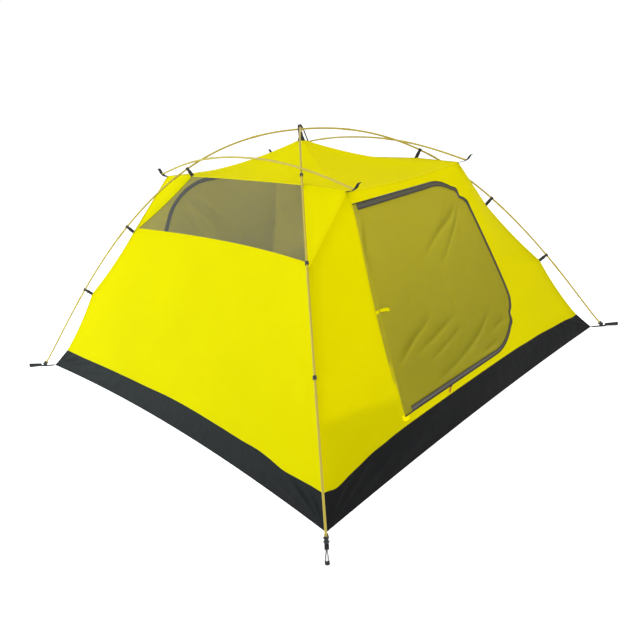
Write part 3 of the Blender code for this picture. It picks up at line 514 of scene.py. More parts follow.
# Clips. Twelve hooks moulded in black nylon that snap over the long poles, three on each leg.
# Each has a bar, and a folded webbing tab goes round the bar and is sewn in the canopy seam.

CLIP_UPS = (0.53, 0.965, 1.4128)
CLIP_REACH = 0.045
CLIP_WIDTH = 0.014
TAB_WIDTH = 0.017
CLIP_WALL = 0.0026
CLIP_MOUTH = 55.0
CLIP_NECK = 20.0
CLIP_LIP = 12.0
CLIP_PLAY = 0.0004
HOOK_STEPS = 24
CLIP_STRAIGHT = CLIP_WIDTH * 0.9
BAR_START = 0.0132
BAR_LENGTH = 0.008
TAB_THICK = 0.0022
TAB_FOLD = 0.005
TAB_PINCH = 0.006
TAB_STEPS = 8
TAB_CLEAR = 0.001
TAB_SEWN = 0.004
TAB_SAG = 0.0006
HOOK_EASE = 0.0006


def clamped(share):
    """A number kept between 0 and 1."""
    return min(max(share, 0.0), 1.0)


def webbing_finish():
    """Black webbing: ribs across the strap and a twill of thick yarns."""
    material, tree, shader = new_finish("black_webbing", (0.020, 0.020, 0.022), 0.85, 0.2)
    place = object_place(tree)
    ribs = put(tree, "ShaderNodeTexWave", {"Vector": place, "Scale": 170.0, "Distortion": 0.4,
                                           "Detail": 1.0}, bands_direction="DIAGONAL").outputs["Fac"]
    paint(tree, shader, between(tree, ribs, (0.012, 0.012, 0.013), (0.045, 0.045, 0.050)))
    yarn = noise(tree, place, 800.0, 2.0)
    height = put(tree, "ShaderNodeMath", {0: ribs, 1: yarn}, operation="ADD")
    emboss(tree, shader, 0.5, 0.0004, height.outputs[0])
    return material


def clip_place(track, up, side, end):
    """Pole point, pole direction and the direction from the pole to the canopy."""
    below = point_up(track, up - CLIP_STRAIGHT)
    above = point_up(track, up + CLIP_STRAIGHT)
    along = (above - below).normalized()
    outward = Vector((diagonal.x, diagonal.y, 0))
    inward = along.cross(outward.cross(along)).normalized()
    inward = -inward if inward.dot(outward) > 0 else inward
    middle = (below + above) / 2
    return mirrored(middle, side, end), mirrored(along, side, end), mirrored(inward, side, end)


def canopy_point(up):
    """Canopy corner under a clip, in the first quarter."""
    middle, _, inward = clip_place(high_track, up, 1, 1)
    lower, _, _ = clip_place(low_track, up, 1, 1)
    return (middle + lower) / 2 + inward * CLIP_REACH


def slab(name, outline, axes, low, high, material, ease=0.0):
    """A flat outline raised between two heights, its long edges eased."""
    count = len(outline)
    heights = [low, low + ease, high - ease, high] if ease else [low, high]
    points = []
    for i, height in enumerate(heights):
        drawn = ease if i in (0, len(heights) - 1) else 0.0
        for k, p in enumerate(outline):
            run = (Vector(outline[(k + 1) % count]) - Vector(outline[k - 1])).normalized()
            here = Vector(p) + Vector((-run.y, run.x)) * drawn * turn_of(outline)
            points.append(axes @ Vector((here.x, here.y, height)))
    caps = [tuple(range(count - 1, -1, -1)), tuple(range((len(heights) - 1) * count, len(heights) * count))]
    return built(name, points, caps + quads(len(heights), count, True), material)


def turn_of(outline):
    """1 where an outline runs anticlockwise, so that its left side is inside, else -1."""
    area = sum(a[0] * b[1] - b[0] * a[1] for a, b in zip(outline, outline[1:] + outline[:1]))
    return 1.0 if area > 0 else -1.0


def hook_outline():
    """Side view of a hook and its bar: X towards the canopy, Y across the pole."""
    inner = POLE_RADIUS + CLIP_PLAY
    outer = inner + CLIP_WALL
    stem = 0.0018
    start = math.degrees(math.asin(stem / outer))
    tip = 360.0 - CLIP_NECK - CLIP_MOUTH
    polar = [(outer, start + (tip - start) * t) for t in shares(HOOK_STEPS)]
    polar += [(outer - CLIP_WALL * t, tip + CLIP_LIP * math.sin(math.pi * t)) for t in shares(4)[1:-1]]
    polar += [(inner, tip - (tip + CLIP_NECK) * t) for t in shares(HOOK_STEPS)]
    polar += [((outer + inner) / 2, -CLIP_NECK - 7.0), (outer, -CLIP_NECK)]
    points = [(reach * math.cos(math.radians(turn)), reach * math.sin(math.radians(turn)))
              for reach, turn in polar]
    points.append((outer * math.cos(math.radians(start)), -stem))
    bar = 0.0034
    lower = [(BAR_START, -stem), (BAR_START + 0.0012, -bar), (BAR_START + BAR_LENGTH - 0.0012, -bar),
             (BAR_START + BAR_LENGTH, -bar * 0.6)]
    return points + lower + [(x, -y) for x, y in reversed(lower)]


BAND_SECTION = (
    (-0.5, -0.15), (-0.5, 0.15), (-0.46, 0.5), (0.0, 0.56), (0.46, 0.5),
    (0.5, 0.15), (0.5, -0.15), (0.46, -0.5), (0.0, -0.56), (-0.46, -0.5),
)


def band(name, centre, across, width, thick, material):
    """A strap of even width and thickness whose middle line is given, each point with its
    direction across the strap."""
    points = []
    for i, (p, side_way) in enumerate(zip(centre, across)):
        before = centre[max(i - 1, 0)]
        after = centre[min(i + 1, len(centre) - 1)]
        up = (after - before).cross(side_way).normalized()
        side_way = side_way.normalized()
        points += [p + side_way * (width * s) + up * (thick * h) for s, h in BAND_SECTION]
    section = len(BAND_SECTION)
    caps = [tuple(range(section)), tuple(range(len(points) - 1, len(points) - section - 1, -1))]
    return built(name, points, caps + quads(len(centre), section, True), material)


def joined(name, items):
    """Several meshes kept as the parts of one piece."""
    target = items[0]
    with bpy.context.temp_override(active_object=target, object=target, selected_objects=items,
                                   selected_editable_objects=items):
        bpy.ops.object.join()
    target.name = name
    target.data.name = name
    return target


webbing = webbing_finish()
hook = hook_outline()
for corner_name, side, end in CORNERS:
    track = high_track if side * end > 0 else low_track
    for word, up in zip(("low", "mid", "top"), CLIP_UPS):
        name = f"{corner_name}_{word}"
        place, along, inward = clip_place(track, up, side, end)
        reach = (mirrored(canopy_point(up), side, end) - place).dot(inward)
        axes = axes_from(place - along * (CLIP_WIDTH / 2), inward, along)
        body = rounded(slab(name + "_hook", hook, axes, 0.0, CLIP_WIDTH, plastic, HOOK_EASE), 35)
        line = []
        for t in shares(TAB_STEPS):
            far = BAR_START + TAB_CLEAR + (reach + TAB_SEWN - BAR_START) * t
            line.append(axes @ Vector((far, TAB_SAG * math.sin(math.pi * t), CLIP_WIDTH / 2)))
        tab = band(name + "_tab", line, [along] * len(line), TAB_WIDTH, TAB_THICK + TAB_FOLD, webbing)
        for vertex in tab.data.vertices:
            here = axes.inverted() @ vertex.co
            pinch = clamped((here.x - BAR_START - BAR_LENGTH) / TAB_PINCH)
            here.y *= 1.0 - pinch * (1 - TAB_THICK / (TAB_THICK + TAB_FOLD))
            vertex.co = axes @ here
        clip = joined(name + "_hook_and_tab", [body, rounded(tab, 60)])
        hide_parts(name + "_clip")
        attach(clip, "tent")


# Tub floor. A groundsheet and four low walls of dark coated cloth in one tub. The walls lean in,
# bow in between the corners, and crease where the corner straps pull on them.

TUB_HEIGHT = 0.092
CREASE_OUT = 0.8
CREASE_UP = 0.5
END_CREASE_SHARE = 0.7
TUB_LEAN_X = 0.065
TUB_LEAN_Y = 0.072
SIDE_HEM_BOW = 0.050
END_HEM_BOW = 0.020
TUB_TOP_BOW = 0.045
GROUND_CLOTH = 0.0012
TUB_CLOTH = 0.0008
TUB_ROWS = 14
TUB_COLUMNS = 200
FLOOR_STEPS = 60
END_FOLD_SHARE = 0.86
TENT_MIDDLE = Vector((0.0, 0.0, 0.35))

tub_corner = Vector((FLOOR_HALF_X - TUB_LEAN_X, FLOOR_HALF_Y - TUB_LEAN_Y, TUB_HEIGHT))


def weave(tree, pitch):
    """Height of a plain weave that follows the cloth's own lengthways and crossways threads."""
    place = put(tree, "ShaderNodeUVMap", uv_map="cloth").outputs["UV"]
    turns = math.pi / 10 / pitch
    warp, weft = (put(tree, "ShaderNodeTexWave", {"Vector": place, "Scale": turns},
                      bands_direction=way).outputs["Fac"] for way in "XY")
    return put(tree, "ShaderNodeMath", {0: warp, 1: weft}, operation="MAXIMUM").outputs[0]


def tone_with_painted_shade(tree, tone, depth):
    """A cloth's tone, darker or paler by a point attribute of painted shade and highlight."""
    painted_shade_value = put(tree, "ShaderNodeAttribute", attribute_name="crease_and_painted_shade").outputs["Fac"]
    share = put(tree, "ShaderNodeMath", {0: painted_shade_value, 1: depth, 2: 1.0}, operation="MULTIPLY_ADD")
    return blended(tree, 1.0, tone, share.outputs[0], "MULTIPLY")


def bumped(tree, fine, soft, fine_size, soft_size):
    """Surface direction from the threads and, under them, the soft creases of the cloth."""
    creases = put(tree, "ShaderNodeBump", {"Strength": 1.0, "Distance": soft_size, "Height": soft})
    threads = put(tree, "ShaderNodeBump", {
        "Strength": 0.5, "Distance": fine_size, "Height": fine, "Normal": creases.outputs["Normal"]})
    return threads.outputs["Normal"]


def tub_finish():
    """Coated floor cloth: near black, a faint satin shine, soft creases and scuffs."""
    material, tree, shader = new_finish("tub_cloth", (0.005, 0.005, 0.006), 0.5, 0.10)
    place = object_place(tree)
    scuffs = noise(tree, place, 14.0, 5.0, 0.65)
    tone = between(tree, scuffs, (0.0035, 0.0036, 0.0042), (0.0075, 0.0078, 0.0088))
    paint(tree, shader, tone, spread(tree, scuffs, 0.40, 0.58))
    normal = bumped(tree, weave(tree, 0.0009), noise(tree, place, 16.0, 3.0), 0.00008, 0.003)
    tree.links.new(normal, shader.inputs["Normal"])
    return material


def cloth(name, points, faces, spots, thick, material, painted_shade_and_binding_tone=None):
    """Closed cloth: an outer skin turned away from the middle of the tent, an inner skin a
    thickness behind it and the cut edge between. Spots are each point's place on the flat cut,
    and the last argument says how far the cloth is darkened or paled at each point: painted shade
    and highlight, and the darker tone of the window binding."""
    outward = 0.0
    for face in faces:
        a, b, c = (points[i] for i in face[:3])
        outward += (b - a).cross(c - a).dot((a + b + c) / 3 - TENT_MIDDLE)
    if outward < 0:
        faces = [tuple(reversed(face)) for face in faces]
    lean_of = [Vector((0.0, 0.0, 0.0)) for _ in points]
    rims = {}
    for face in faces:
        whole = Vector((0.0, 0.0, 0.0))
        for i in range(1, len(face) - 1):
            whole += (points[face[i]] - points[face[0]]).cross(points[face[i + 1]] - points[face[0]])
        for i in face:
            lean_of[i] += whole
        for a, b in zip(face, face[1:] + face[:1]):
            rims[(a, b)] = True
    count = len(points)
    inner = [p - n.normalized() * thick for p, n in zip(points, lean_of)]
    solid = list(faces) + [tuple(i + count for i in reversed(face)) for face in faces]
    solid += [(b, a, a + count, b + count) for a, b in rims if (b, a) not in rims]
    mesh = bpy.data.meshes.new(name)
    mesh.from_pydata(list(points) + inner, [], solid)
    cut = mesh.uv_layers.new(name="cloth")
    flat = [number for loop in mesh.loops for number in spots[loop.vertex_index % count]]
    cut.data.foreach_set("uv", flat)
    if painted_shade_and_binding_tone:
        mesh.attributes.new("crease_and_painted_shade", "FLOAT", "POINT").data.foreach_set("value", list(painted_shade_and_binding_tone) * 2)
    mesh.materials.append(material)
    return rounded(placed(name, mesh), 50)


def grid_cloth(name, rows, thick, material):
    """Cloth over rows of points. A row whose points are all one is a corner of the cut."""
    points = []
    spots = []
    table = []
    rise = 0.0
    for r, row in enumerate(rows):
        middle = len(row) // 2
        rise += (row[middle] - rows[r - 1][middle]).length if r else 0.0
        run = 0.0
        numbers = []
        width = sum((b - a).length for a, b in zip(row, row[1:]))
        for c, point in enumerate(row):
            if c:
                run += (point - row[c - 1]).length
            if c and width < 1e-6:
                numbers.append(numbers[0])
                continue
            numbers.append(len(points))
            points.append(point)
            spots.append((run - width / 2, rise))
        table.append(numbers)
    faces = []
    for low, high in zip(table, table[1:]):
        for c in range(len(low) - 1):
            face = list(dict.fromkeys((low[c], low[c + 1], high[c + 1], high[c])))
            if len(face) > 2:
                faces.append(tuple(face))
    return cloth(name, points, faces, spots, thick, material)


def fold(x, y, start, stop, width, height):
    """Height of a soft fold over a flat cloth: a ridge between two points that dies out."""
    run_x = stop[0] - start[0]
    run_y = stop[1] - start[1]
    length = math.hypot(run_x, run_y)
    share = ((x - start[0]) * run_x + (y - start[1]) * run_y) / length ** 2
    if not 0 < share < 1:
        return 0.0
    off = ((x - start[0]) * run_y - (y - start[1]) * run_x) / length
    return height * (1 - (2 * share - 1) ** 4) * math.exp(-(off / width) ** 2)


# Sizes of a crease in shares of its width: the painted highlight's strength and offset, the ridge's offset,
# and the widths of the painted highlight and painted shade.
PAINTED_HIGHLIGHT_SHARE = 0.7
PAINTED_HIGHLIGHT_OFF = 1.9
RIDGE_OFF = 0.9
PAINTED_HIGHLIGHT_WIDTH = 0.9
PAINTED_SHADE_WIDTH = 0.85


def crease_and_painted_shade(x, y, path, width, height):
    """Height and painted shade at a point of a sharp crease along a path: painted darker along the
    path, a painted highlight beside it on the side of the width's sign, and dying out at both ends."""
    lengths = [math.dist(a, b) for a, b in zip(path, path[1:])]
    best = None
    walked = 0.0
    for (ax, ay), (bx, by), length in zip(path, path[1:], lengths):
        share = clamped(((x - ax) * (bx - ax) + (y - ay) * (by - ay)) / length ** 2)
        near = math.dist((x, y), (ax + (bx - ax) * share, ay + (by - ay) * share))
        side = (x - ax) * (by - ay) - (y - ay) * (bx - ax)
        if best is None or near < best[0]:
            best = (near, walked + length * share, 1.0 if side > 0 else -1.0)
        walked += length
    off = best[0] * best[2] / width
    if off < -4 or off > 6:
        return 0.0, 0.0
    fade = 1 - abs(2 * best[1] / walked - 1) ** 3
    pale = PAINTED_HIGHLIGHT_SHARE * math.exp(-((off - PAINTED_HIGHLIGHT_OFF) / PAINTED_HIGHLIGHT_WIDTH) ** 2)
    shade = pale - math.exp(-(off / PAINTED_SHADE_WIDTH) ** 2)
    return height * fade * math.exp(-abs(off - RIDGE_OFF)), shade * fade


CORNER_FOLDS = (
    ((0.020, 0.010), (0.260, 0.088), 0.0075, 0.0050),
    ((0.018, 0.014), (0.185, 0.088), 0.0060, -0.0040),
    ((0.016, 0.018), (0.120, 0.090), 0.0055, 0.0042),
    ((0.012, 0.020), (0.058, 0.090), 0.0050, -0.0030),
    ((0.060, 0.006), (0.420, 0.060), 0.0100, 0.0030),
    ((0.300, 0.004), (0.620, 0.050), 0.0140, 0.0022),
)


def tub_crease(along, half_length, up, strength):
    """Creases of a tub wall, fanning out from its two corners, with a slack middle."""
    whole = 0.0
    for end, stretch in ((-1, 1.0), (1, END_FOLD_SHARE)):
        off = half_length - along * end
        for start, stop, width, height in CORNER_FOLDS:
            whole += fold(off, up, start, (stop[0] * stretch, stop[1]), width, height * strength)
    slack = 0.0016 * math.sin(along * 9.0 + 0.6) * math.sin(math.pi * min(up / TUB_HEIGHT, 1.0))
    edge = math.sin(math.pi * clamped(up / TUB_HEIGHT)) ** 0.5
    return (whole + slack) * edge


tub_paint = tub_finish()
SIDE_TUB = (FLOOR_HALF_Y, tub_corner.y, FLOOR_HALF_X, tub_corner.x, SIDE_HEM_BOW, TUB_TOP_BOW)
END_TUB = (FLOOR_HALF_X, tub_corner.x, FLOOR_HALF_Y, tub_corner.y, END_HEM_BOW, 0.0)
SIDE_DROPS = {
    LEFT: ((-1.02, 0.004), (-0.82, 0.0085), (-0.60, 0.008), (-0.35, 0.0065), (-0.20, 0.005),
           (-0.05, 0.001), (0.12, 0.0005), (0.37, 0.0035), (0.52, 0.005), (0.62, 0.003),
           (0.70, 0.007), (0.78, 0.014), (0.86, 0.0105), (0.94, 0.006), (1.02, 0.004)),
    RIGHT: ((-1.02, 0.004), (-0.80, 0.008), (0.00, 0.003), (0.80, 0.008), (1.02, 0.012)),
}
END_DROPS = {
    FRONT: ((-1.02, 0.004), (-0.963, 0.009), (-0.923, 0.016), (-0.891, 0.014), (-0.857, 0.009),
            (-0.79, 0.002), (-0.72, -0.006), (-0.649, -0.009), (-0.574, -0.013), (-0.40, -0.016),
            (0.00, -0.018), (0.355, -0.016), (0.473, -0.012), (0.598, -0.009), (0.725, -0.001),
            (0.862, 0.006), (0.931, 0.013), (1.02, 0.012)),
    REAR: ((-1.02, 0.004), (-0.90, 0.011), (-0.70, -0.003), (0.00, -0.012), (0.70, -0.003),
           (0.90, 0.011), (1.02, 0.004)),
}


def tub_point(tub, u, t):
    """A point of a tub wall at shares of its width and height: along, out from the middle, up."""
    half_low, half_high, out_low, out_high, bow_low, bow_high = tub
    slack = 1 - u * u
    out = out_low - bow_low * slack
    out += (out_high - bow_high * slack - out) * t
    up = GROUND_CLOTH / 2 + (TUB_HEIGHT - GROUND_CLOTH / 2) * t
    return (half_low + (half_high - half_low) * t) * u, out, up


def smooth_value(table, x):
    """The value at x of a smooth line through a table of places and values."""
    x = min(max(x, table[0][0]), table[-1][0])
    i = next(k for k in range(1, len(table)) if x <= table[k][0])
    slopes = []
    for k in (i - 1, i):
        (ax, ay), (bx, by) = table[max(k - 1, 0)], table[min(k + 1, len(table) - 1)]
        slopes.append((by - ay) / (bx - ax))
    (ax, ay), (bx, by) = table[i - 1], table[i]
    t = (x - ax) / (bx - ax)
    bend = (slopes[0] * (1 - t) - slopes[1] * t) * (bx - ax) - (by - ay) * (1 - 2 * t)
    return ay + (by - ay) * t + t * (1 - t) * bend


def seam_share(tub, u, drops):
    """The share of a tub wall's height where its top seam runs: it sags beside the corners and is
    pulled up between them."""
    return 1 - smooth_value(drops, tub[1] * u) / TUB_HEIGHT


def seam_shift(tub, u, drops):
    """How far the top seam is moved by its drops: along, out and up."""
    return [a - b for a, b in zip(tub_point(tub, u, seam_share(tub, u, drops)), tub_point(tub, u, 1.0))]


def tub_wall_rows(tub, drops, strength):
    """Rows of one tub wall as distances along it, out from the middle and up."""
    rows = []
    for height in shares(TUB_ROWS):
        row = []
        for u in spans(TUB_COLUMNS):
            t = height * seam_share(tub, u, drops)
            along, out, up = tub_point(tub, u, t)
            half = tub[0] + (tub[1] - tub[0]) * t
            rise = tub_crease(along, half, height * TUB_HEIGHT, strength)
            row.append((along, out + rise * CREASE_OUT, up + rise * CREASE_UP))
        rows.append(row)
    return rows


tub_walls = {}
for word, side in SIDES:
    tub_walls[word] = [[Vector((side * out, side * along, up)) for along, out, up in row]
                       for row in tub_wall_rows(SIDE_TUB, SIDE_DROPS[side], 1.0)]
for word, end in ENDS:
    tub_walls[word] = [[Vector((-end * along, end * out, up)) for along, out, up in row]
                       for row in tub_wall_rows(END_TUB, END_DROPS[end], END_CREASE_SHARE)]
for word, rows in tub_walls.items():
    wall = grid_cloth(word + "_tub_side", rows, TUB_CLOTH, tub_paint)
    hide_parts(word + "_tub_wall")
    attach(wall, "tent")

floor_rows = []
for v in spans(FLOOR_STEPS):
    half_x = FLOOR_HALF_X - SIDE_HEM_BOW * (1 - v * v)
    floor_rows.append([Vector((u * half_x, v * (FLOOR_HALF_Y - END_HEM_BOW * (1 - u * u)), GROUND_CLOTH))
                       for u in spans(FLOOR_STEPS)])
groundsheet = grid_cloth("groundsheet_cloth", floor_rows, GROUND_CLOTH, tub_paint)
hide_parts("groundsheet")
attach(groundsheet, "tent")


# Side walls and windows. Each side is a yellow nylon panel with a band of dark mosquito net sewn
# above it. Both bow in between the legs, and the clips pull the leg seams out to their hooks.

LEG_SCALLOP = 0.008
ROOF_SIDE_BOW = 0.014
SIDE_BULGE = 0.010
WINDOW_CORNER_UP = 0.034
WINDOW_SEAM_DIP = 0.010
NYLON = 0.0006
NET = 0.0004
# How strongly the painted shade and highlight in the cloth's point attribute darken or pale the nylon and
# the net.
NYLON_PAINTED_SHADE = 0.16
NET_PAINTED_SHADE = 0.30
SIDE_COLUMNS = 96
LEG_STEPS = 16
DROP_FADE = 0.12
EDGE_FADE = 8
SEAM_FADE = 12
WINDOW_ROWS = 16
WINDOW_SLACK = 0.0030

low_corner, mid_corner, top_corner = (canopy_point(up) for up in CLIP_UPS)
brow_corner = Vector((BROW_X, BROW_Y, BROW_Z))
seam_pull = Vector((-diagonal.x, -diagonal.y, -1)).normalized() * LEG_SCALLOP
side_spans = spans(SIDE_COLUMNS)
tub_mid_x = tub_corner.x - TUB_TOP_BOW
roof_mid_x = top_corner.x - ROOF_SIDE_BOW


def scallop(a, b, pull):
    """Points from a to b along an edge that the tension pulls in by a vector."""
    return [a.lerp(b, t) + pull * (4 * t * (1 - t)) for t in shares(LEG_STEPS)]


def along_path(path, share):
    """The point of a path at a share of its steps."""
    place = share * (len(path) - 1)
    index = min(int(place), len(path) - 2)
    return path[index].lerp(path[index + 1], place - index)


leg_lower = scallop(tub_corner, low_corner, seam_pull)[:-1]
leg_lower += scallop(low_corner, mid_corner, seam_pull)
leg_upper = scallop(mid_corner, top_corner, seam_pull)
window_share = WINDOW_CORNER_UP / (top_corner - mid_corner).length
window_corner = along_path(leg_upper, window_share)
brow_seam = scallop(mid_corner, brow_corner, Vector((0.0, 0.0, 0.0)))


def side_mid_x(height):
    """How far out the middle of a side is at a height."""
    t = (height - tub_corner.z) / (top_corner.z - tub_corner.z)
    return tub_mid_x + (roof_mid_x - tub_mid_x) * t + SIDE_BULGE * math.sin(math.pi * t)


def side_row(corner, lift):
    """Row of a side panel between two leg points."""
    bow = corner.x - side_mid_x(corner.z)
    return [Vector((corner.x - bow * (1 - u * u), corner.y * u, corner.z + lift * (1 - u * u)))
            for u in side_spans]


def seam_dip(corner):
    """How far a row of the side panel hangs below its ends in the middle."""
    share = (corner.z - low_corner.z) / (window_corner.z - low_corner.z)
    return -WINDOW_SEAM_DIP * clamped(share)


SIDE_FOLDS = (
    ((-0.96, 0.02), (-0.66, 0.42), 0.030, 0.0035),
    ((0.96, 0.02), (0.70, 0.36), 0.034, 0.0030),
    ((-0.84, 0.36), (-0.30, 0.26), 0.032, -0.0026),
    ((0.84, 0.36), (0.36, 0.30), 0.036, -0.0024),
    ((-0.64, 0.70), (-0.34, 0.46), 0.028, 0.0026),
    ((0.64, 0.70), (0.30, 0.50), 0.030, 0.0026),
    ((-0.30, 0.06), (-0.10, 0.60), 0.060, 0.0022),
    ((0.34, 0.04), (0.18, 0.58), 0.070, 0.0020),
)


def side_slack(y, up, edge):
    """Slack of a side panel: long soft folds from the clips and corners."""
    whole = sum(fold(y, up, *f) for f in SIDE_FOLDS)
    whole += 0.0010 * math.sin(11.0 * y + 1.3) * math.sin(9.0 * up + 0.4)
    return whole * edge


def nylon_finish():
    """Yellow rip-stop nylon: fine weave, light glows through it."""
    material, tree, shader = new_finish("yellow_nylon", (0.93, 0.86, 0.0), 0.6, 0.03)
    shader.inputs["Specular Tint"].default_value = (1.0, 0.85, 0.0, 1.0)
    place = object_place(tree)
    cloudy = noise(tree, place, 2.6, 4.0)
    tone = between(tree, cloudy, (0.90, 0.825, 0.0), (0.97, 0.90, 0.0))
    # Painted shade and highlight of creases, folds and seams, from the cloth's point attribute.
    tone = tone_with_painted_shade(tree, tone, NYLON_PAINTED_SHADE)
    paint(tree, shader, tone, spread(tree, cloudy, 0.52, 0.68))
    normal = bumped(tree, weave(tree, 0.0008), noise(tree, place, 7.0, 4.0, 0.45), 0.00006, 0.006)
    tree.links.new(normal, shader.inputs["Normal"])
    glow = put(tree, "ShaderNodeBsdfTranslucent", {"Color": tone, "Normal": normal})
    both = put(tree, "ShaderNodeMixShader", {"Fac": 0.50, 1: shader.outputs[0], 2: glow.outputs[0]})
    tree.links.new(both.outputs[0], tree.nodes["Material Output"].inputs["Surface"])
    return material


def net_finish(name, dark, light, thin, thick):
    """Mosquito net: fine yarns both ways with open holes between them."""
    material, tree, shader = new_finish(name, light, 0.85, 0.1)
    cloudy = noise(tree, object_place(tree), 4.0, 3.0)
    # Its tone takes the painted shade of the door leaf from the cloth's point attribute.
    paint(tree, shader, tone_with_painted_shade(tree, between(tree, cloudy, dark, light), NET_PAINTED_SHADE))
    tree.links.new(spread(tree, weave(tree, 0.0016), thin, thick), shader.inputs["Alpha"])
    emboss(tree, shader, 0.6, 0.006, cloudy)
    return material


nylon = nylon_finish()
window_net = net_finish("window_mesh", (0.13, 0.13, 0.125), (0.17, 0.17, 0.155), 0.06, 0.40)


def side_wall_rows(drops):
    """Rows of one side panel, from the tub seam up to the window."""
    rows = []
    for corner in leg_lower + [along_path(leg_upper, window_share / 2), window_corner]:
        row = side_row(corner, seam_dip(corner))
        up = corner.z - tub_corner.z
        low = max(0.0, 1 - up / DROP_FADE) ** 2
        for u, point in zip(side_spans, row):
            edge = min(1.0, (1 - abs(u)) * EDGE_FADE)
            edge *= min(1.0, up * SEAM_FADE, (window_corner.z - corner.z) * SEAM_FADE)
            point.x += side_slack(point.y, up, edge)
            along, out, rise = seam_shift(SIDE_TUB, u, drops)
            point += Vector((out, along, rise)) * low
        rows.append(row)
    return rows


def mirrored_rows(rows, side, end):
    """Rows of the first quarter taken to a corner."""
    return [[mirrored(p, side, end) for p in row] for row in rows]


window_rows = []
for t in shares(WINDOW_ROWS):
    corner = along_path(leg_upper, window_share + (1 - window_share) * t)
    row = side_row(corner, -WINDOW_SEAM_DIP * (1 - t))
    for u, point in zip(side_spans, row):
        point.x -= WINDOW_SLACK * math.sin(math.pi * t) * (1 - u * u) * (1 + math.sin(5.0 * u + 0.8))
    window_rows.append(row)
for word, side in SIDES:
    rows = mirrored_rows(side_wall_rows(SIDE_DROPS[side]), side, side)
    wall = grid_cloth(word + "_side_panel", rows, NYLON, nylon)
    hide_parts(word + "_wall")
    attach(wall, "tent")
    window = grid_cloth(word + "_window_net", mirrored_rows(window_rows, side, side), NET, window_net)
    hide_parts(word + "_window")
    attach(window, "tent")


# Gussets. Four three-cornered yellow panels that turn the corner between window, door end and
# roof, cut on the bias and drawn tight by the mid clip, the top clip and the brow tab.

GUSSET_COLUMNS = 12
GUSSET_HOLLOW = 0.0035
GUSSET_FACING = Vector((0.68, 0.68, 0.28))

gusset_rows = []
for t, near_window, near_wall in zip(shares(LEG_STEPS), leg_upper, brow_seam):
    row = []
    for s in shares(GUSSET_COLUMNS):
        hollow = GUSSET_HOLLOW * math.sin(math.pi * s) * math.sin(math.pi * t)
        row.append(near_window.lerp(near_wall, s) - GUSSET_FACING * hollow)
    gusset_rows.append(row)
for name, side, end in CORNERS:
    rows = mirrored_rows(gusset_rows, side, end)
    gusset = grid_cloth(name + "_corner_panel", rows, NYLON, nylon)
    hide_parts(name + "_gusset")
    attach(gusset, "tent")
    word = "left" if side == LEFT else "right"


# Door ends. Each end of the canopy is one yellow panel from leg to leg with a D-shaped hole for
# the door. It is flat round the door and turns in towards the leg seams. Painted shade darkens
# its slack corner beside the door's hinge and the cloth beside the legs.

PANEL_FOOT_X = 0.520
SILL_MARGIN = 0.049
HEAD_MARGIN = 0.052
HINGE_FOOT_MARGIN = 0.014
HINGE_HEAD_MARGIN = 0.009
LATCH_FOOT_MARGIN = 0.041
LATCH_HEAD_MARGIN = 0.064
LATCH_BULGE = 0.021
HEAD_ROUND = 0.237
SILL_ROUND = 0.236
BROW_EDGE_SAG = 0.016
STRIP_BEND = 1.3
ROW_SHARE = 0.866
SPOT_MARGIN = 0.55
CLOTH_PITCH = 0.026
PANEL_LOW = (-1.0, 0.0)
PANEL_HIGH = (1.0, 0.96)
PANEL_EDGE_FADE = 12
PANEL_FOOT_FADE = 14
DOOR_CLEAR = 0.05
HEAD_STEPS = 40
FOOT_STEPS = 160

wall_foot = Vector((0.0, -tub_corner.y, tub_corner.z))
wall_head = Vector((0.0, -brow_corner.y, brow_corner.z))
wall_rise = (wall_head - wall_foot).length
wall_up = (wall_head - wall_foot).normalized()
wall_out = X_WAY.cross(wall_up)


def on_wall(x, up, out=0.0):
    """A point of the front panel's plane, or a little off it."""
    return wall_foot + Vector((x, 0.0, 0.0)) + wall_up * up + wall_out * out


def turned(point, end):
    """The front point itself, or the same point of the rear end, half a turn away."""
    return point.copy() if end == FRONT else Vector((-point.x, -point.y, point.z))


def flat_edge_x(up):
    """How far out the flat part of the panel reaches at a height on it."""
    return PANEL_FOOT_X + (BROW_X - PANEL_FOOT_X) * up / wall_rise


DOOR_SILL = SILL_MARGIN
DOOR_HEAD = wall_rise - HEAD_MARGIN
HINGE_FOOT_X = HINGE_FOOT_MARGIN - flat_edge_x(DOOR_SILL)
HINGE_HEAD_X = HINGE_HEAD_MARGIN - flat_edge_x(DOOR_HEAD)
LATCH_FOOT_X = flat_edge_x(DOOR_SILL) - LATCH_FOOT_MARGIN
LATCH_HEAD_X = flat_edge_x(DOOR_HEAD) - LATCH_HEAD_MARGIN


def fillet(before, corner, after, radius, steps):
    """Points of a round corner between two straight edges."""
    first = (before - corner).normalized()
    second = (after - corner).normalized()
    half = math.acos(max(-1.0, min(1.0, first.dot(second)))) / 2
    start = corner + first * (radius / math.tan(half))
    stop = corner + second * (radius / math.tan(half))
    centre = corner + (first + second).normalized() * (radius / math.sin(half))
    return [centre + (start - centre).lerp(stop - centre, t).normalized() * radius for t in shares(steps)]


DOOR_PUCKERS = (
    ((0.298, 0.829), 0.022, 0.010),
    ((0.319, 0.800), 0.015, -0.014),
    ((0.352, 0.755), 0.026, 0.010),
    ((0.440, 0.255), 0.028, 0.005),
    ((0.411, 0.184), 0.018, -0.015),
    ((0.390, 0.147), 0.022, 0.007),
)
PUCKER_FADE = 0.05
PUCKER_LEFT = 0.35


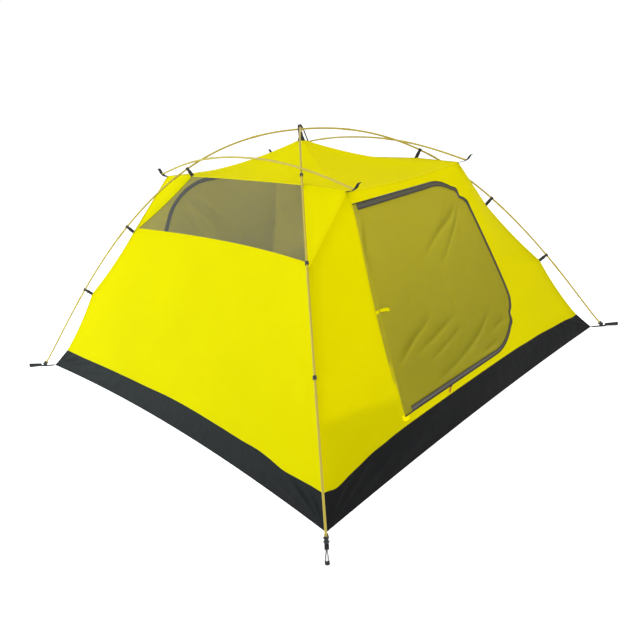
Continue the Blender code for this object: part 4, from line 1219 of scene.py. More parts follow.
def door_outline():
    """Outline of the door hole before its puckers, from the hinge head round to the hinge foot."""
    hinge_head = Vector((HINGE_HEAD_X, DOOR_HEAD))
    hinge_foot = Vector((HINGE_FOOT_X, DOOR_SILL))
    latch_head = Vector((LATCH_HEAD_X, DOOR_HEAD))
    latch_foot = Vector((LATCH_FOOT_X, DOOR_SILL))
    head_round = fillet(hinge_head, latch_head, latch_foot, HEAD_ROUND, 40)
    sill_round = fillet(latch_head, latch_foot, hinge_foot, SILL_ROUND, 48)
    head_run = [hinge_head.lerp(head_round[0], t) for t in shares(24)[:-1]]
    latch_run = [head_round[-1].lerp(sill_round[0], t) for t in shares(20)[1:-1]]
    sill_run = [sill_round[-1].lerp(hinge_foot, t) for t in shares(28)[1:]]
    path = head_run + head_round + latch_run + sill_round + sill_run
    bowed = []
    for point in path:
        t = (point.y - DOOR_SILL) / (DOOR_HEAD - DOOR_SILL)
        weight = max(0.0, point.x / LATCH_FOOT_X)
        bowed.append(Vector((point.x + LATCH_BULGE * 4 * t * (1 - t) * weight, point.y)))
    return bowed


door_run = door_outline()
door_puckers = [sum(high * math.exp(-((p - Vector(spot)).length / reach) ** 2)
                    for spot, reach, high in DOOR_PUCKERS) for p in door_run]


def door_path(distances, hinge_in=0.0, pull=1.0):
    """The door outline moved inwards by a distance, or by one for each of its points, and drawn in
    and out by a share of its puckers. Its two ends stay on the hinge line, which may itself be
    moved inwards."""
    moved = []
    last = len(door_run) - 1
    if not isinstance(distances, list):
        distances = [distances] * len(door_run)
    hinge_run = (door_run[0] - door_run[last]).normalized()
    base = door_run[last] + Vector((hinge_run.y, -hinge_run.x)) * hinge_in
    for i, here in enumerate(door_run):
        before = door_run[max(i - 1, 0)]
        after = door_run[min(i + 1, last)]
        run = (after - before).normalized()
        inward = Vector((run.y, -run.x))
        pucker = pull * door_puckers[i] * max(PUCKER_LEFT, 1 - distances[i] / PUCKER_FADE)
        first = here + inward * (distances[i] - pucker)
        if 0 < i < last:
            moved.append(first)
            continue
        cross = run.x * hinge_run.y - run.y * hinge_run.x
        step = ((base - first).x * hinge_run.y - (base - first).y * hinge_run.x) / cross
        moved.append(first + run * step)
    return moved


def crossings(x, y, loop):
    """How many edges of a loop lie to the right of a point."""
    count = 0
    for (ax, ay), (bx, by) in zip(loop, loop[1:] + loop[:1]):
        if (ay > y) != (by > y) and x < ax + (bx - ax) * (y - ay) / (by - ay):
            count += 1
    return count


def fill(loops, spots):
    """Triangles that fill an outline, past its holes, with spots inside it."""
    flat = [Vector(p) for loop in loops for p in loop]
    edges = []
    for loop in loops:
        start = len(edges)
        edges += [(start + i, start + (i + 1) % len(loop)) for i in range(len(loop))]
    flat += [Vector(spot) for spot in spots]
    faces = delaunay_2d_cdt(flat, edges, [], 0, 1e-7, False)[2]
    kept = []
    for a, b, c in faces:
        middle = (flat[a] + flat[b] + flat[c]) / 3
        inside = sum(crossings(middle.x, middle.y, loop) for loop in loops) % 2
        area = (flat[b] - flat[a]).cross(flat[c] - flat[a])
        if inside and abs(area) > 1e-9:
            kept.append((a, b, c))
    return flat, kept


def square_of(x, y, size):
    """The square of a grid that a place lies in."""
    return int(x / size + 100), int(y / size + 100)


def filed(pairs, size):
    """Things filed by the square that each one's place lies in."""
    squares = {}
    for (x, y), thing in pairs:
        squares.setdefault(square_of(x, y, size), []).append(thing)
    return squares


def nearby(squares, x, y, size):
    """What is filed in the nine squares round a place."""
    column, row = square_of(x, y, size)
    return [thing for i in (-1, 0, 1) for k in (-1, 0, 1)
            for thing in squares.get((column + i, row + k), [])]


def spots_inside(loops, pitch, low, high):
    """Points in staggered rows between two corners, inside the loops and clear of them."""
    squares = filed([(p, p) for loop in loops for p in loop], pitch)
    spots = []
    row_pitch = pitch * ROW_SHARE
    for r in range(int((high[1] - low[1]) / row_pitch)):
        for c in range(int((high[0] - low[0]) / pitch)):
            x = low[0] + (c + 0.5 * (r % 2)) * pitch
            y = low[1] + r * row_pitch
            around = nearby(squares, x, y, pitch)
            if any(math.hypot(px - x, py - y) < pitch * SPOT_MARGIN for px, py in around):
                continue
            if sum(crossings(x, y, loop) for loop in loops) % 2:
                spots.append((x, y))
    return spots


def leg_at(height):
    """The leg seam's point at a height, in the first quarter."""
    for a, b in zip(end_edge, end_edge[1:]):
        if a.z <= height <= b.z:
            return a.lerp(b, (height - a.z) / (b.z - a.z))
    return end_edge[0 if height < end_edge[0].z else -1].copy()


END_FOLDS = (
    ((-0.95, 0.235), (-0.43, 0.115), 0.045, 0.0070),
    ((-0.99, 0.010), (-0.62, 0.150), 0.030, -0.0050),
    ((0.99, 0.010), (0.60, 0.170), 0.035, 0.0045),
    ((-0.85, 0.330), (-0.50, 0.420), 0.032, 0.0030),
    ((0.84, 0.330), (0.47, 0.420), 0.034, 0.0035),
    ((-0.66, 0.640), (-0.46, 0.500), 0.022, 0.0025),
    ((0.66, 0.640), (0.48, 0.480), 0.024, 0.0028),
    ((0.45, 0.100), (0.86, 0.250), 0.050, 0.0030),
)

end_edge = leg_lower[:-1] + brow_seam
DOOR = door_path(0.0)
# The third value of a door is its share of the puckers and of the sharp creases with their painted shade.
DOORS = (("front", FRONT, 1.0), ("rear", REAR, 0.0))
edge_ups = [(p.z - tub_corner.z) / wall_up.z for p in end_edge]
left_edge = [(-p.x, up) for p, up in zip(end_edge, edge_ups)]
head_edge = [(BROW_X * u, wall_rise - BROW_EDGE_SAG * (1 - u * u)) for u in spans(HEAD_STEPS)[1:-1]]
right_edge = [(p.x, up) for p, up in reversed(list(zip(end_edge, edge_ups)))]
foot_edge = [(-tub_corner.x * u, 0.0) for u in spans(FOOT_STEPS)[1:-1]]
end_loop = left_edge + head_edge + right_edge + foot_edge


def end_point(x, up):
    """The end panel's surface over a point of its flat pattern, without slack."""
    edge = flat_edge_x(up)
    if abs(x) <= edge or up > wall_rise - 1e-4:
        return on_wall(x, up)
    height = on_wall(0.0, up).z
    leg = leg_at(height)
    t = min((abs(x) - edge) / max(leg.x - edge, 1e-6), 1.0)
    flat = on_wall(x, up)
    flat.y += (-leg.y - flat.y) * t ** STRIP_BEND
    return flat


hinge_spots = [DOOR[-1].lerp(DOOR[0], t) for t in shares(40)[1:-1]]
door_squares = filed([(p, p) for p in DOOR + hinge_spots], DOOR_CLEAR)


def clear_of_door(x, up):
    """0 at the door's outline, up to 1 from 5 cm away."""
    near = nearby(door_squares, x, up, DOOR_CLEAR)
    return min([1.0] + [math.hypot(p.x - x, p.y - up) / DOOR_CLEAR for p in near])


# Painted shade of the end panel: how dark the slack corner below the fold line is painted, how softly it
# starts, where it stops and fades, how dark and wide the painted strips beside the legs are, and the fold
# line itself.
SLACK_PAINTED_SHADE = 0.78
SLACK_SOFTNESS = 0.030
SLACK_END = -0.42
SLACK_FADE = 0.12
LEG_PAINTED_SHADE = 0.55
LEG_PAINTED_SHADE_WIDTH = 0.030
PAINTED_SHADE_LINE = ((-0.97, 0.205), (-0.86, 0.200), (-0.70, 0.186), (-0.60, 0.163), (-0.47, 0.135))


def end_painted_shade(x, up):
    """Painted shade of the end panel: the slack corner left of the door's hinge, which leans down
    from a fold, is painted darker, and so is the cloth where it turns in beside the legs."""
    line = PAINTED_SHADE_LINE[-1][1]
    for (ax, ay), (bx, by) in zip(PAINTED_SHADE_LINE, PAINTED_SHADE_LINE[1:]):
        if ax <= x <= bx:
            line = ay + (by - ay) * (x - ax) / (bx - ax)
    slack = clamped((line - up) / SLACK_SOFTNESS) * clamped((SLACK_END - x) / SLACK_FADE)
    leg_x = leg_at(on_wall(0.0, up).z).x
    turn = math.exp(-((leg_x - abs(x)) / LEG_PAINTED_SHADE_WIDTH) ** 2)
    return -SLACK_PAINTED_SHADE * slack * (1 - 0.3 * turn) - LEG_PAINTED_SHADE * turn * (1 - slack)


def panel_point(x, up, drops):
    """The end panel's surface over a point of its pattern, with its slack and with its foot let
    down to the tub seam."""
    point = end_point(x, up)
    leg_x = leg_at(point.z).x
    edge = min(1.0, (leg_x - abs(x)) * PANEL_EDGE_FADE, up * PANEL_FOOT_FADE,
               (wall_rise - BROW_EDGE_SAG - up) * PANEL_FOOT_FADE)
    slack = sum(fold(x, up, *f) for f in END_FOLDS)
    slack += 0.0010 * math.sin(12.0 * x + 0.7) * math.sin(10.0 * up)
    point += wall_out * (slack * max(0.0, edge) * clear_of_door(x, up))
    low = max(0.0, 1 - up / (DOOR_SILL * 0.94)) ** 2
    if low:
        along, out, rise = seam_shift(END_TUB, x / leg_x, drops)
        point += Vector((along, -out, rise)) * low
    return point


for word, end, pull in DOORS:
    door_loop = [(p.x, p.y) for p in door_path(0.0, pull=pull)]
    spots = spots_inside([end_loop, door_loop], CLOTH_PITCH, PANEL_LOW, PANEL_HIGH)
    pattern, faces = fill([end_loop, door_loop], spots)
    points = [turned(panel_point(p.x, p.y, END_DROPS[end]), end) for p in pattern]
    # Each point's painted shade.
    shades = [end_painted_shade(p.x, p.y) for p in pattern]
    panel = cloth(word + "_end_panel", points, faces, pattern, NYLON, nylon, shades)
    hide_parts(word + "_wall")
    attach(panel, "tent")


# Roof. One yellow sheet sewn to the windows, the gussets and the two door ends. The crown strap
# draws it up to a peak under the crossing of the poles, and it hangs hollow between its corners.

PEAK_HEIGHT = 1.116
ROOF_SWEEP = 1.9
ROOF_RINGS = 32
ROOF_RIPPLE = 0.0016


def roof_rim():
    """Rim of the roof, once round."""
    brow_edge = [(-BROW_X, wall_rise)] + head_edge + [(BROW_X, wall_rise)]
    steps = shares(GUSSET_COLUMNS)[1:-1]
    near_gusset = [mirrored(brow_corner.lerp(top_corner, t), RIGHT, FRONT) for t in steps]
    far_gusset = [top_corner.lerp(brow_corner, t) for t in steps]
    half = [on_wall(x, up) for x, up in brow_edge] + near_gusset + side_row(top_corner, 0.0) + far_gusset
    return half + [turned(p, REAR) for p in half]


rim = roof_rim()
peak = Vector((0.0, 0.0, PEAK_HEIGHT))
roof_points = []
for t in shares(ROOF_RINGS)[:-1]:
    for p in rim:
        point = p.lerp(peak, t)
        point.z = p.z + (PEAK_HEIGHT - p.z) * t ** ROOF_SWEEP
        bearing = math.atan2(p.y, p.x)
        point.z += ROOF_RIPPLE * math.sin(math.pi * t) * math.sin(7 * bearing + 0.9)
        roof_points.append(point)
roof_points.append(peak)
ring = len(rim)
top_ring = (ROOF_RINGS - 1) * ring
roof_faces = quads(ROOF_RINGS, ring, True)
roof_faces += [(top_ring + i, top_ring + (i + 1) % ring, top_ring + ring) for i in range(ring)]
roof = cloth("roof_panel", roof_points, roof_faces, [(p.x, p.y) for p in roof_points], NYLON, nylon)
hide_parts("roof")
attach(roof, "tent")


# Doors. Each door is one leaf: mosquito net outside and yellow nylon inside, sewn to the panel at
# the hinge edge and inside a grey zip tape on the other three sides. The cloth hangs slack, with
# creases that cross it on a slant, each painted darker along it with a painted highlight beside
# it, and the leaf is painted darker towards its foot.

ZIP_CHAIN = 0.0032
TAPE_WIDTHS = (
    (0.00, 0.026), (0.12, 0.024), (0.22, 0.022), (0.30, 0.014), (0.37, 0.011),
    (0.53, 0.0105), (0.62, 0.014), (0.72, 0.018), (0.80, 0.020), (1.00, 0.020),
)
REAR_TAPE = 0.022
TAPE_ROWS = 6
NET_DEPTH = 0.0004
LINING_DEPTH = 0.0019
UNDER_TIE = (-0.412, 0.463)
UNDER_TIE_CALM = 0.065
UNDER_TIE_HOLD = 0.85
CREASE_PITCH = 0.009
CREASE_OFFS = (-0.9, 0.0, 0.9, 1.9, 3.0)
# The darkest painted shade a door leaf's creases may reach.
DARKEST_PAINTED_SHADE = -1.3
# Painted shade of the door leaf: its value at the head, how much darker it falls, and the height and reach
# of that fall.
PAINTED_DOOR_SHADE_HEAD = 0.2
PAINTED_DOOR_SHADE_FALL = 0.7
PAINTED_DOOR_SHADE_FROM = 0.75
PAINTED_DOOR_SHADE_REACH = 0.55
LEAF_BULGE = 0.0030
LEAF_WAVE = 0.0016
LEAF_EDGE = 0.030
TAPE_PALE = 0.45
LEAF_SQUARE = 0.06
LEAF_FAR = 0.05
LEAF_LOW = (-0.52, 0.04)
LEAF_HIGH = (0.47, 0.92)
LEAF_END_PLAY = 0.0005
SPOT_CLEAR = 0.6
SPOT_SQUARE = 0.02
SEAM_PLAY = 0.0004
HINGE_PLAY = 0.0005
TAPE_THICK = 0.0007
LEAF_UNDER_TAPE = 0.004
TAPE_STITCHES = (0.24, 0.86)
LEAF_PITCH = 0.010
TAPE_NEAR = SEAM_PLAY * 2 + ZIP_CHAIN

LEAF_FOLDS = (
    ((0.262, 0.785), (0.010, 0.535), 0.016, 0.0075),
    ((0.215, 0.800), (-0.040, 0.590), 0.013, -0.0050),
    ((0.270, 0.740), (0.080, 0.470), 0.020, -0.0045),
    ((0.110, 0.710), (-0.045, 0.360), 0.030, 0.0060),
    ((-0.020, 0.580), (0.020, 0.320), 0.015, -0.0050),
    ((-0.460, 0.235), (-0.150, 0.385), 0.018, 0.0070),
    ((-0.410, 0.185), (-0.040, 0.365), 0.016, -0.0050),
    ((-0.380, 0.235), (-0.110, 0.305), 0.013, 0.0055),
    ((-0.300, 0.085), (-0.010, 0.175), 0.015, 0.0060),
    ((-0.240, 0.115), (0.110, 0.335), 0.019, -0.0045),
    ((0.010, 0.100), (0.230, 0.310), 0.017, 0.0060),
    ((0.120, 0.110), (0.330, 0.330), 0.020, -0.0040),
    ((0.170, 0.250), (0.310, 0.285), 0.012, 0.0045),
    ((0.190, 0.155), (0.345, 0.205), 0.012, 0.0045),
    ((0.330, 0.620), (0.110, 0.420), 0.022, 0.0040),
    ((-0.370, 0.830), (-0.200, 0.490), 0.034, 0.0035),
    ((-0.430, 0.560), (-0.180, 0.470), 0.024, 0.0030),
)

# Sharp creases of a door leaf: path, width and height. Each is painted darker along its path with a painted
# highlight beside it.
LEAF_CREASES = (
    (((-0.080, 0.601), (-0.004, 0.645), (0.081, 0.689), (0.159, 0.719), (0.246, 0.772)), 0.0105, 0.0080),
    (((0.005, 0.542), (0.070, 0.590), (0.154, 0.654), (0.212, 0.698), (0.278, 0.770)), 0.0105, 0.0075),
    (((-0.359, 0.839), (-0.381, 0.770), (-0.402, 0.709), (-0.421, 0.591)), 0.0090, 0.0045),
    (((-0.445, 0.250), (-0.329, 0.309), (-0.158, 0.369)), 0.0105, 0.0070),
    (((-0.323, 0.246), (-0.162, 0.285), (-0.004, 0.323)), 0.0100, 0.0060),
    (((-0.255, 0.194), (-0.138, 0.222), (0.022, 0.258)), 0.0090, 0.0035),
    (((-0.265, 0.101), (-0.081, 0.137), (0.034, 0.169), (0.141, 0.208), (0.278, 0.276)), 0.0110, 0.0080),
    (((0.223, 0.170), (0.337, 0.192)), 0.0090, 0.0045),
    (((0.093, 0.100), (0.242, 0.114)), 0.0090, 0.0035),
)

along_door = [0.0]
for a, b in zip(door_run, door_run[1:]):
    along_door.append(along_door[-1] + (b - a).length)


def tape_width(share):
    """Width of the zip tape at a share of the way from the hinge head round to the hinge foot."""
    for (before, a), (after, b) in zip(TAPE_WIDTHS, TAPE_WIDTHS[1:]):
        if share <= after:
            return a + (b - a) * (share - before) / (after - before)
    return TAPE_WIDTHS[-1][1]


front_tape = [tape_width(done / along_door[-1]) for done in along_door]
rear_tape = [REAR_TAPE] * len(along_door)
leaf_clears = [(p, (p, TAPE_NEAR + REAR_TAPE + 0.002)) for p in DOOR]
leaf_clears += [(p, (p, 0.004)) for p in hinge_spots]
leaf_squares = filed(leaf_clears, LEAF_SQUARE)


def leaf_slack(x, up, pull):
    """Slack of the door leaf at a point, none at its edges, with a share of its sharp creases."""
    near = nearby(leaf_squares, x, up, LEAF_SQUARE)
    off = min([LEAF_FAR] + [math.hypot(p.x - x, p.y - up) - clear for p, clear in near])
    edge = clamped(off / LEAF_EDGE)
    whole = sum(fold(x, up, *f) for f in LEAF_FOLDS)
    whole += pull * sum(crease_and_painted_shade(x, up, *c)[0] for c in LEAF_CREASES)
    whole += LEAF_BULGE + LEAF_WAVE * math.sin(13.0 * x + 9.0 * up)
    whole *= 1 - UNDER_TIE_HOLD * math.exp(-(math.dist((x, up), UNDER_TIE) / UNDER_TIE_CALM) ** 2)
    return whole * edge * edge * (3 - 2 * edge)


def crease_spots():
    """Points on and beside the creases, so that the cloth's mesh can turn sharply there."""
    spots = []
    for path, width, _ in LEAF_CREASES:
        for (ax, ay), (bx, by) in zip(path, path[1:]):
            length = math.dist((ax, ay), (bx, by))
            steps = max(1, round(length / CREASE_PITCH))
            for i in range(steps):
                x, y = ax + (bx - ax) * i / steps, ay + (by - ay) * i / steps
                for off in CREASE_OFFS:
                    aside_x, aside_y = (by - ay) / length * width * off, (bx - ax) / length * width * off
                    spots.append((x + aside_x, y - aside_y))
    return spots


def painted_door_shade(up):
    """Painted shade of a door's net and lining: darker towards the foot of the door, where the floor behind
    it is dark.
    """
    return PAINTED_DOOR_SHADE_HEAD - PAINTED_DOOR_SHADE_FALL * clamped((PAINTED_DOOR_SHADE_FROM - up) / PAINTED_DOOR_SHADE_REACH)


def leaf_pattern(under, widths, pull):
    """A door leaf's cut: its points, its triangles, and each point's slack and painted shade."""
    margins = [TAPE_NEAR + wide - under for wide in widths]
    for i in (0, 1, -3, -2, -1):
        margins[i] = TAPE_NEAR + LEAF_END_PLAY
    path = door_path(margins, HINGE_PLAY, pull)
    loop = [(p.x, p.y) for p in path + [path[-1].lerp(path[0], t) for t in shares(80)[1:-1]]]
    extra = [s for s in crease_spots() if crossings(*s, loop) % 2]
    taken = filed([(p, p) for p in extra + loop], SPOT_SQUARE)
    spots = list(extra)
    for spot in spots_inside([loop], LEAF_PITCH, LEAF_LOW, LEAF_HIGH):
        if all(math.dist(spot, p) > LEAF_PITCH * SPOT_CLEAR for p in nearby(taken, *spot, SPOT_SQUARE)):
            spots.append(spot)
    flat, faces = fill([loop], spots)
    slack = [leaf_slack(p.x, p.y, pull) for p in flat]
    shades = [painted_door_shade(p.y) + pull * sum(crease_and_painted_shade(p.x, p.y, *c)[1] for c in LEAF_CREASES) for p in flat]
    return flat, faces, slack, [max(DARKEST_PAINTED_SHADE, shade) for shade in shades]


def leaf_cloth(name, end, pattern, depth, thick, material):
    """One D-shaped cloth of a door leaf, its outer face a depth behind the panel's."""
    flat, faces, slack, shades = pattern
    points = [turned(on_wall(p.x, p.y, rise - depth), end) for p, rise in zip(flat, slack)]
    return cloth(name, points, faces, flat, thick, material, shades)


def tape_finish():
    """Grey polyester zip tape: fine ribs along it, darker along both edges and paler along the
    middle, more so on its lower run."""
    material, tree, shader = new_finish("zip_tape", (0.09, 0.08, 0.055), 0.8, 0.15)
    place = put(tree, "ShaderNodeUVMap", uv_map="cloth").outputs["UV"]
    parts = put(tree, "ShaderNodeSeparateXYZ", {"Vector": place})
    middle = front_tape[len(front_tape) // 2]
    share = put(tree, "ShaderNodeMath", {0: parts.outputs["Y"], 1: 1 / middle}, operation="MULTIPLY")
    tones = []
    for pale in ((0.098, 0.088, 0.062), (0.125, 0.115, 0.095)):
        lines = put(tree, "ShaderNodeValToRGB", {"Fac": share.outputs[0]})
        ramp = lines.color_ramp
        ramp.elements[0].position = 0.0
        ramp.elements[0].color = (0.045, 0.043, 0.034, 1.0)
        ramp.elements[1].position = 1.0
        ramp.elements[1].color = (0.050, 0.046, 0.034, 1.0)
        for position, colour in ((0.16, (0.062, 0.058, 0.044)), (0.30, pale), (0.66, pale),
                                 (0.82, (0.060, 0.056, 0.042))):
            ramp.elements.new(position).color = (*colour, 1.0)
        tones.append(lines.outputs["Color"])
    reach = put(tree, "ShaderNodeMapRange", {
        "Value": parts.outputs["X"], "From Min": TAPE_PALE - 0.05, "From Max": TAPE_PALE + 0.05})
    body = blended(tree, reach.outputs["Result"], *tones)
    rib = put(tree, "ShaderNodeTexWave", {"Vector": place, "Scale": 260.0}, bands_direction="Y")
    paint(tree, shader, blended(tree, 0.25, body, rib.outputs["Color"], "MULTIPLY"))
    emboss(tree, shader, 0.6, 0.0002, rib.outputs["Fac"])
    return material


def repeat_tree():
    """Small beads along edge chains: stitches or zip teeth, turned to lie on their surface."""
    tree, given = geometry_tree("beads_along_path", (
        ("Pitch", "Float"), ("Size", "Vector"), ("Finish", "Material")))
    route = put(tree, "GeometryNodeMeshToCurve", {"Mesh": given["Geometry"]})
    marks = put(tree, "GeometryNodeCurveToPoints", {"Curve": route.outputs[0], "Length": given["Pitch"]},
                mode="LENGTH")
    bead = put(tree, "GeometryNodeMeshUVSphere", {"Segments": 6, "Rings": 4, "Radius": 0.5})
    shaped = put(tree, "GeometryNodeTransform", {"Geometry": bead.outputs["Mesh"], "Scale": given["Size"]})
    lift = put(tree, "GeometryNodeInputNamedAttribute", {"Name": "lift"}, data_type="FLOAT_VECTOR")
    turn = put(tree, "FunctionNodeAxesToRotation", {
        "Primary Axis": marks.outputs["Tangent"], "Secondary Axis": lift.outputs["Attribute"]},
        primary_axis="X", secondary_axis="Z")
    beads = put(tree, "GeometryNodeInstanceOnPoints", {
        "Points": marks.outputs["Points"], "Instance": shaped.outputs["Geometry"],
        "Rotation": turn.outputs["Rotation"]})
    close_tree(tree, beads.outputs["Instances"], given["Finish"])
    return tree


def thread_finish(name, colour, deep):
    """Sewing thread: two twisted plies, slightly waxed."""
    material, tree, shader = new_finish(name, colour, 0.6, 0.25)
    ply = noise(tree, object_place(tree), 500.0, 1.0)
    paint(tree, shader, between(tree, ply, deep, colour))
    return material


bead_maker = repeat_tree()
door_net = net_finish("door_mesh", (0.10, 0.09, 0.045), (0.14, 0.13, 0.065), 0.04, 0.28)
tape_cloth = tape_finish()
coil_nylon = thread_finish("zip_chain", (0.045, 0.045, 0.047), (0.012, 0.012, 0.013))
grey_thread = thread_finish("grey_thread", (0.16, 0.16, 0.16), (0.05, 0.05, 0.05))
yellow_thread = thread_finish("yellow_thread", (0.86, 0.72, 0.02), (0.55, 0.45, 0.01))


def stitches(name, chains, lifts, finish, pitch=0.0055, size=(0.0036, 0.0008, 0.0006)):
    """Rows of stitches along chains of points."""
    row = grown(name, chain_mesh(name, chains, lifts), bead_maker,
                {"Pitch": pitch, "Size": size, "Finish": finish})
    row.data.shade_smooth()
    return row


def wall_chain(path, out, end):
    """A path on the panel of an end, raised off it."""
    return [turned(on_wall(p.x, p.y, out), end) for p in path]


def tape_path(widths, share, pull):
    """A line along the zip tape at a share of its width, short of the hinge at both ends."""
    return door_path([TAPE_NEAR + wide * share for wide in widths], HINGE_PLAY, pull)[1:-2]


for (word, end, pull), widths in zip(DOORS, (front_tape, rear_tape)):
    out_way = turned(wall_out, end)
    pattern = leaf_pattern(LEAF_UNDER_TAPE, widths, pull)
    net = leaf_cloth(word + "_door_net", end, pattern, NET_DEPTH, NET, door_net)
    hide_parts(word + "_door_mesh")
    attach(net, word + "_door")
    pattern = leaf_pattern(LEAF_UNDER_TAPE / 2, widths, pull)
    lining = leaf_cloth(word + "_door_lining", end, pattern, LINING_DEPTH, NYLON, nylon)
    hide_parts(word + "_door_inner")
    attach(lining, word + "_door")
    rows = []
    for t in shares(TAPE_ROWS):
        arched = math.sin(math.pi * t)
        row = []
        for k, p in enumerate(tape_path(widths, t, pull)):
            rise = TAPE_THICK + 0.0003 * arched + 0.0007 * math.sin(k * 1.7) * arched
            row.append(turned(on_wall(p.x, p.y, rise), end))
        rows.append(row)
    tape = grid_cloth(word + "_door_tape", rows, TAPE_THICK, tape_cloth)
    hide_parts(word + "_zip_tape")
    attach(tape, word + "_door")
    rows = [wall_chain(tape_path(widths, t, pull), TAPE_THICK + 0.0004, end) for t in TAPE_STITCHES]
    outs = [[out_way] * len(row) for row in rows]
    sewing = stitches(word + "_door_tape_stitches", rows, outs, grey_thread)
    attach(sewing, word + "_door")
    chain = wall_chain(door_path(SEAM_PLAY + ZIP_CHAIN / 2, pull=pull), 0.0007, end)
    teeth = stitches(word + "_door_coil", [chain], [[out_way] * len(chain)], coil_nylon,
                     pitch=0.0019, size=(0.0013, ZIP_CHAIN, 0.0015))
    edges = [wall_chain(door_path(off, pull=pull), 0.0002, end)
             for off in (SEAM_PLAY, SEAM_PLAY + ZIP_CHAIN)]
    base = grid_cloth(word + "_door_coil_tape", edges, TAPE_THICK, coil_nylon)
    coil = joined(word + "_door_zip_coil", [teeth, base])
    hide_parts(word + "_zip_chain")
    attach(coil, "tent")


# Zip sliders. A small black slider rides the coil of each door on its lower run. Its pull is a
# loop of red cord in a moulded grip that hangs down over the panel.

SLIDER_FROM_HINGE = 0.314
SLIDER_LENGTH = 0.016
SLIDER_WIDTH = 0.010
SLIDER_THICK = 0.0045
PULL_LENGTH = 0.034
PULL_WIDTH = 0.007
PULL_LEAN = math.radians(48)

half_l = SLIDER_LENGTH / 2
half_w = SLIDER_WIDTH / 2
half_p = PULL_WIDTH / 2
plate_outline = [
    (-half_l, -half_w * 0.55), (-half_l * 0.55, -half_w), (half_l * 0.7, -half_w), (half_l, -half_w * 0.5),
    (half_l, half_w * 0.5), (half_l * 0.7, half_w), (-half_l * 0.55, half_w), (-half_l, half_w * 0.55),
]
bridge_outline = [(-half_l * 0.6, -0.0016), (half_l * 0.5, -0.0016), (half_l * 0.5, 0.0016),
                  (-half_l * 0.6, 0.0016)]
grip_side = [(half_p * 0.9, -PULL_LENGTH * 0.85), (half_p, -PULL_LENGTH * 0.4), (half_p * 0.7, -0.007)]
grip_outline = [(-x, y) for x, y in reversed(grip_side)]
for t in shares(8)[1:-1]:
    angle = math.pi + math.pi * t
    grip_outline.append((half_p * 0.9 * math.cos(angle), -PULL_LENGTH * 0.87 + half_p * math.sin(angle)))
grip_outline += grip_side

red_grip = thread_finish("red_grip", (0.62, 0.16, 0.035), (0.40, 0.08, 0.02))
for word, end in ENDS:
    x = HINGE_FOOT_X + SLIDER_FROM_HINGE
    origin = turned(on_wall(x, DOOR_SILL + SEAM_PLAY + ZIP_CHAIN / 2, 0.0011), end)
    axes = axes_from(origin, turned(X_WAY, end), turned(wall_out, end))
    hung = axes @ Matrix.Rotation(-PULL_LEAN, 4, "Z")
    plate = slab(word + "_slider_plate", plate_outline, axes, 0.0, SLIDER_THICK * 0.42, plastic, 0.0004)
    bridge = slab(word + "_slider_bridge", bridge_outline, axes, SLIDER_THICK * 0.36, SLIDER_THICK, plastic,
                  0.0005)
    neck = [hung @ Vector((0.0, 0.001 - 0.009 * t, SLIDER_THICK * (0.72 - 0.2 * t))) for t in shares(8)]
    across = [hung.to_3x3() @ X_WAY] * len(neck)
    cord = band(word + "_slider_cord", neck, across, 0.0034, 0.0016, red_grip)
    grip = slab(word + "_slider_grip", grip_outline, hung, 0.0012, 0.0034, red_grip, 0.0006)
    slider = joined(word + "_door_slider", [rounded(plate, 30), rounded(bridge, 30), rounded(cord, 60),
                                            rounded(grip, 30)])
    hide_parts(word + "_zip_slider")
    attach(slider, word + "_slider")


# Tie-backs. A folded tab of the yellow nylon sewn in the hinge seam of each door, half way up. It
# goes round the rolled door and holds it.

TIE_UP = 0.468
TIE_LENGTH = 0.058
TIE_WIDTH = 0.015
TIE_THICK = 0.002
TIE_SAG = 0.011
TIE_START = 0.0043
TIE_COLUMNS = 16
TIE_ROWS = 8
TIE_ROUND = 0.86


def hinge_point(up, out=0.0):
    """A point of the hinge edge, a little off the panel if asked."""
    t = (up - DOOR_SILL) / (DOOR_HEAD - DOOR_SILL)
    return on_wall(HINGE_FOOT_X + (HINGE_HEAD_X - HINGE_FOOT_X) * t, up, out)


for word, end in ENDS:
    along = turned(X_WAY, end)
    axes = axes_from(turned(hinge_point(TIE_UP, 0.0008), end), along, turned(wall_out, end))
    points = []
    spots = []
    for s in spans(TIE_ROWS):
        for t in shares(TIE_COLUMNS):
            reach = TIE_START + (TIE_LENGTH - TIE_START) * t
            half = TIE_WIDTH * (0.34 + 0.16 * min(1.0, t * 1.6))
            if t > TIE_ROUND:
                half *= math.sqrt(max(0.0, 1 - ((t - TIE_ROUND) / 0.145) ** 2))
            lift = TIE_THICK * 0.9 + 0.0013 * math.sin(math.pi * t) ** 2 + 0.0006 * s * math.sin(5.0 * t)
            points.append(axes @ Vector((reach, half * s + 0.002 * math.sin(3.0 * t) - TIE_SAG * t, lift)))
            spots.append((reach, half * s))
    faces = quads(TIE_ROWS + 1, TIE_COLUMNS + 1)
    tie = cloth(word + "_tie_tab", points, faces, spots, TIE_THICK * 0.7, nylon)
    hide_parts(word + "_tie_back")
    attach(tie, word + "_tie")


# Webbing. Ribbed black tape, cut and folded. A strap at each floor corner lies under the pole
# foot and is sewn into a peg loop, and a tab at each roof corner takes the end of a brow pole.

STRAP_WIDTH = 0.014
STRAP_THICK = 0.002
LOOP_START = 0.074
LOOP_LENGTH = 0.072
LOOP_WIDTH = 0.015
LOOP_HEIGHT = 0.018
BROW_TAB_WIDTH = 0.018
BROW_TAB_TAIL = 0.040
BROW_TAB_RISE = math.radians(52)
TACK_ROW = 0.0014
TACK_PITCH = 0.0019
TACK_STITCH = (0.0018, 0.0007, 0.0006)
LOOP_PITCH = 0.004

web_thread = thread_finish("web_thread", (0.055, 0.055, 0.058), (0.02, 0.02, 0.022))


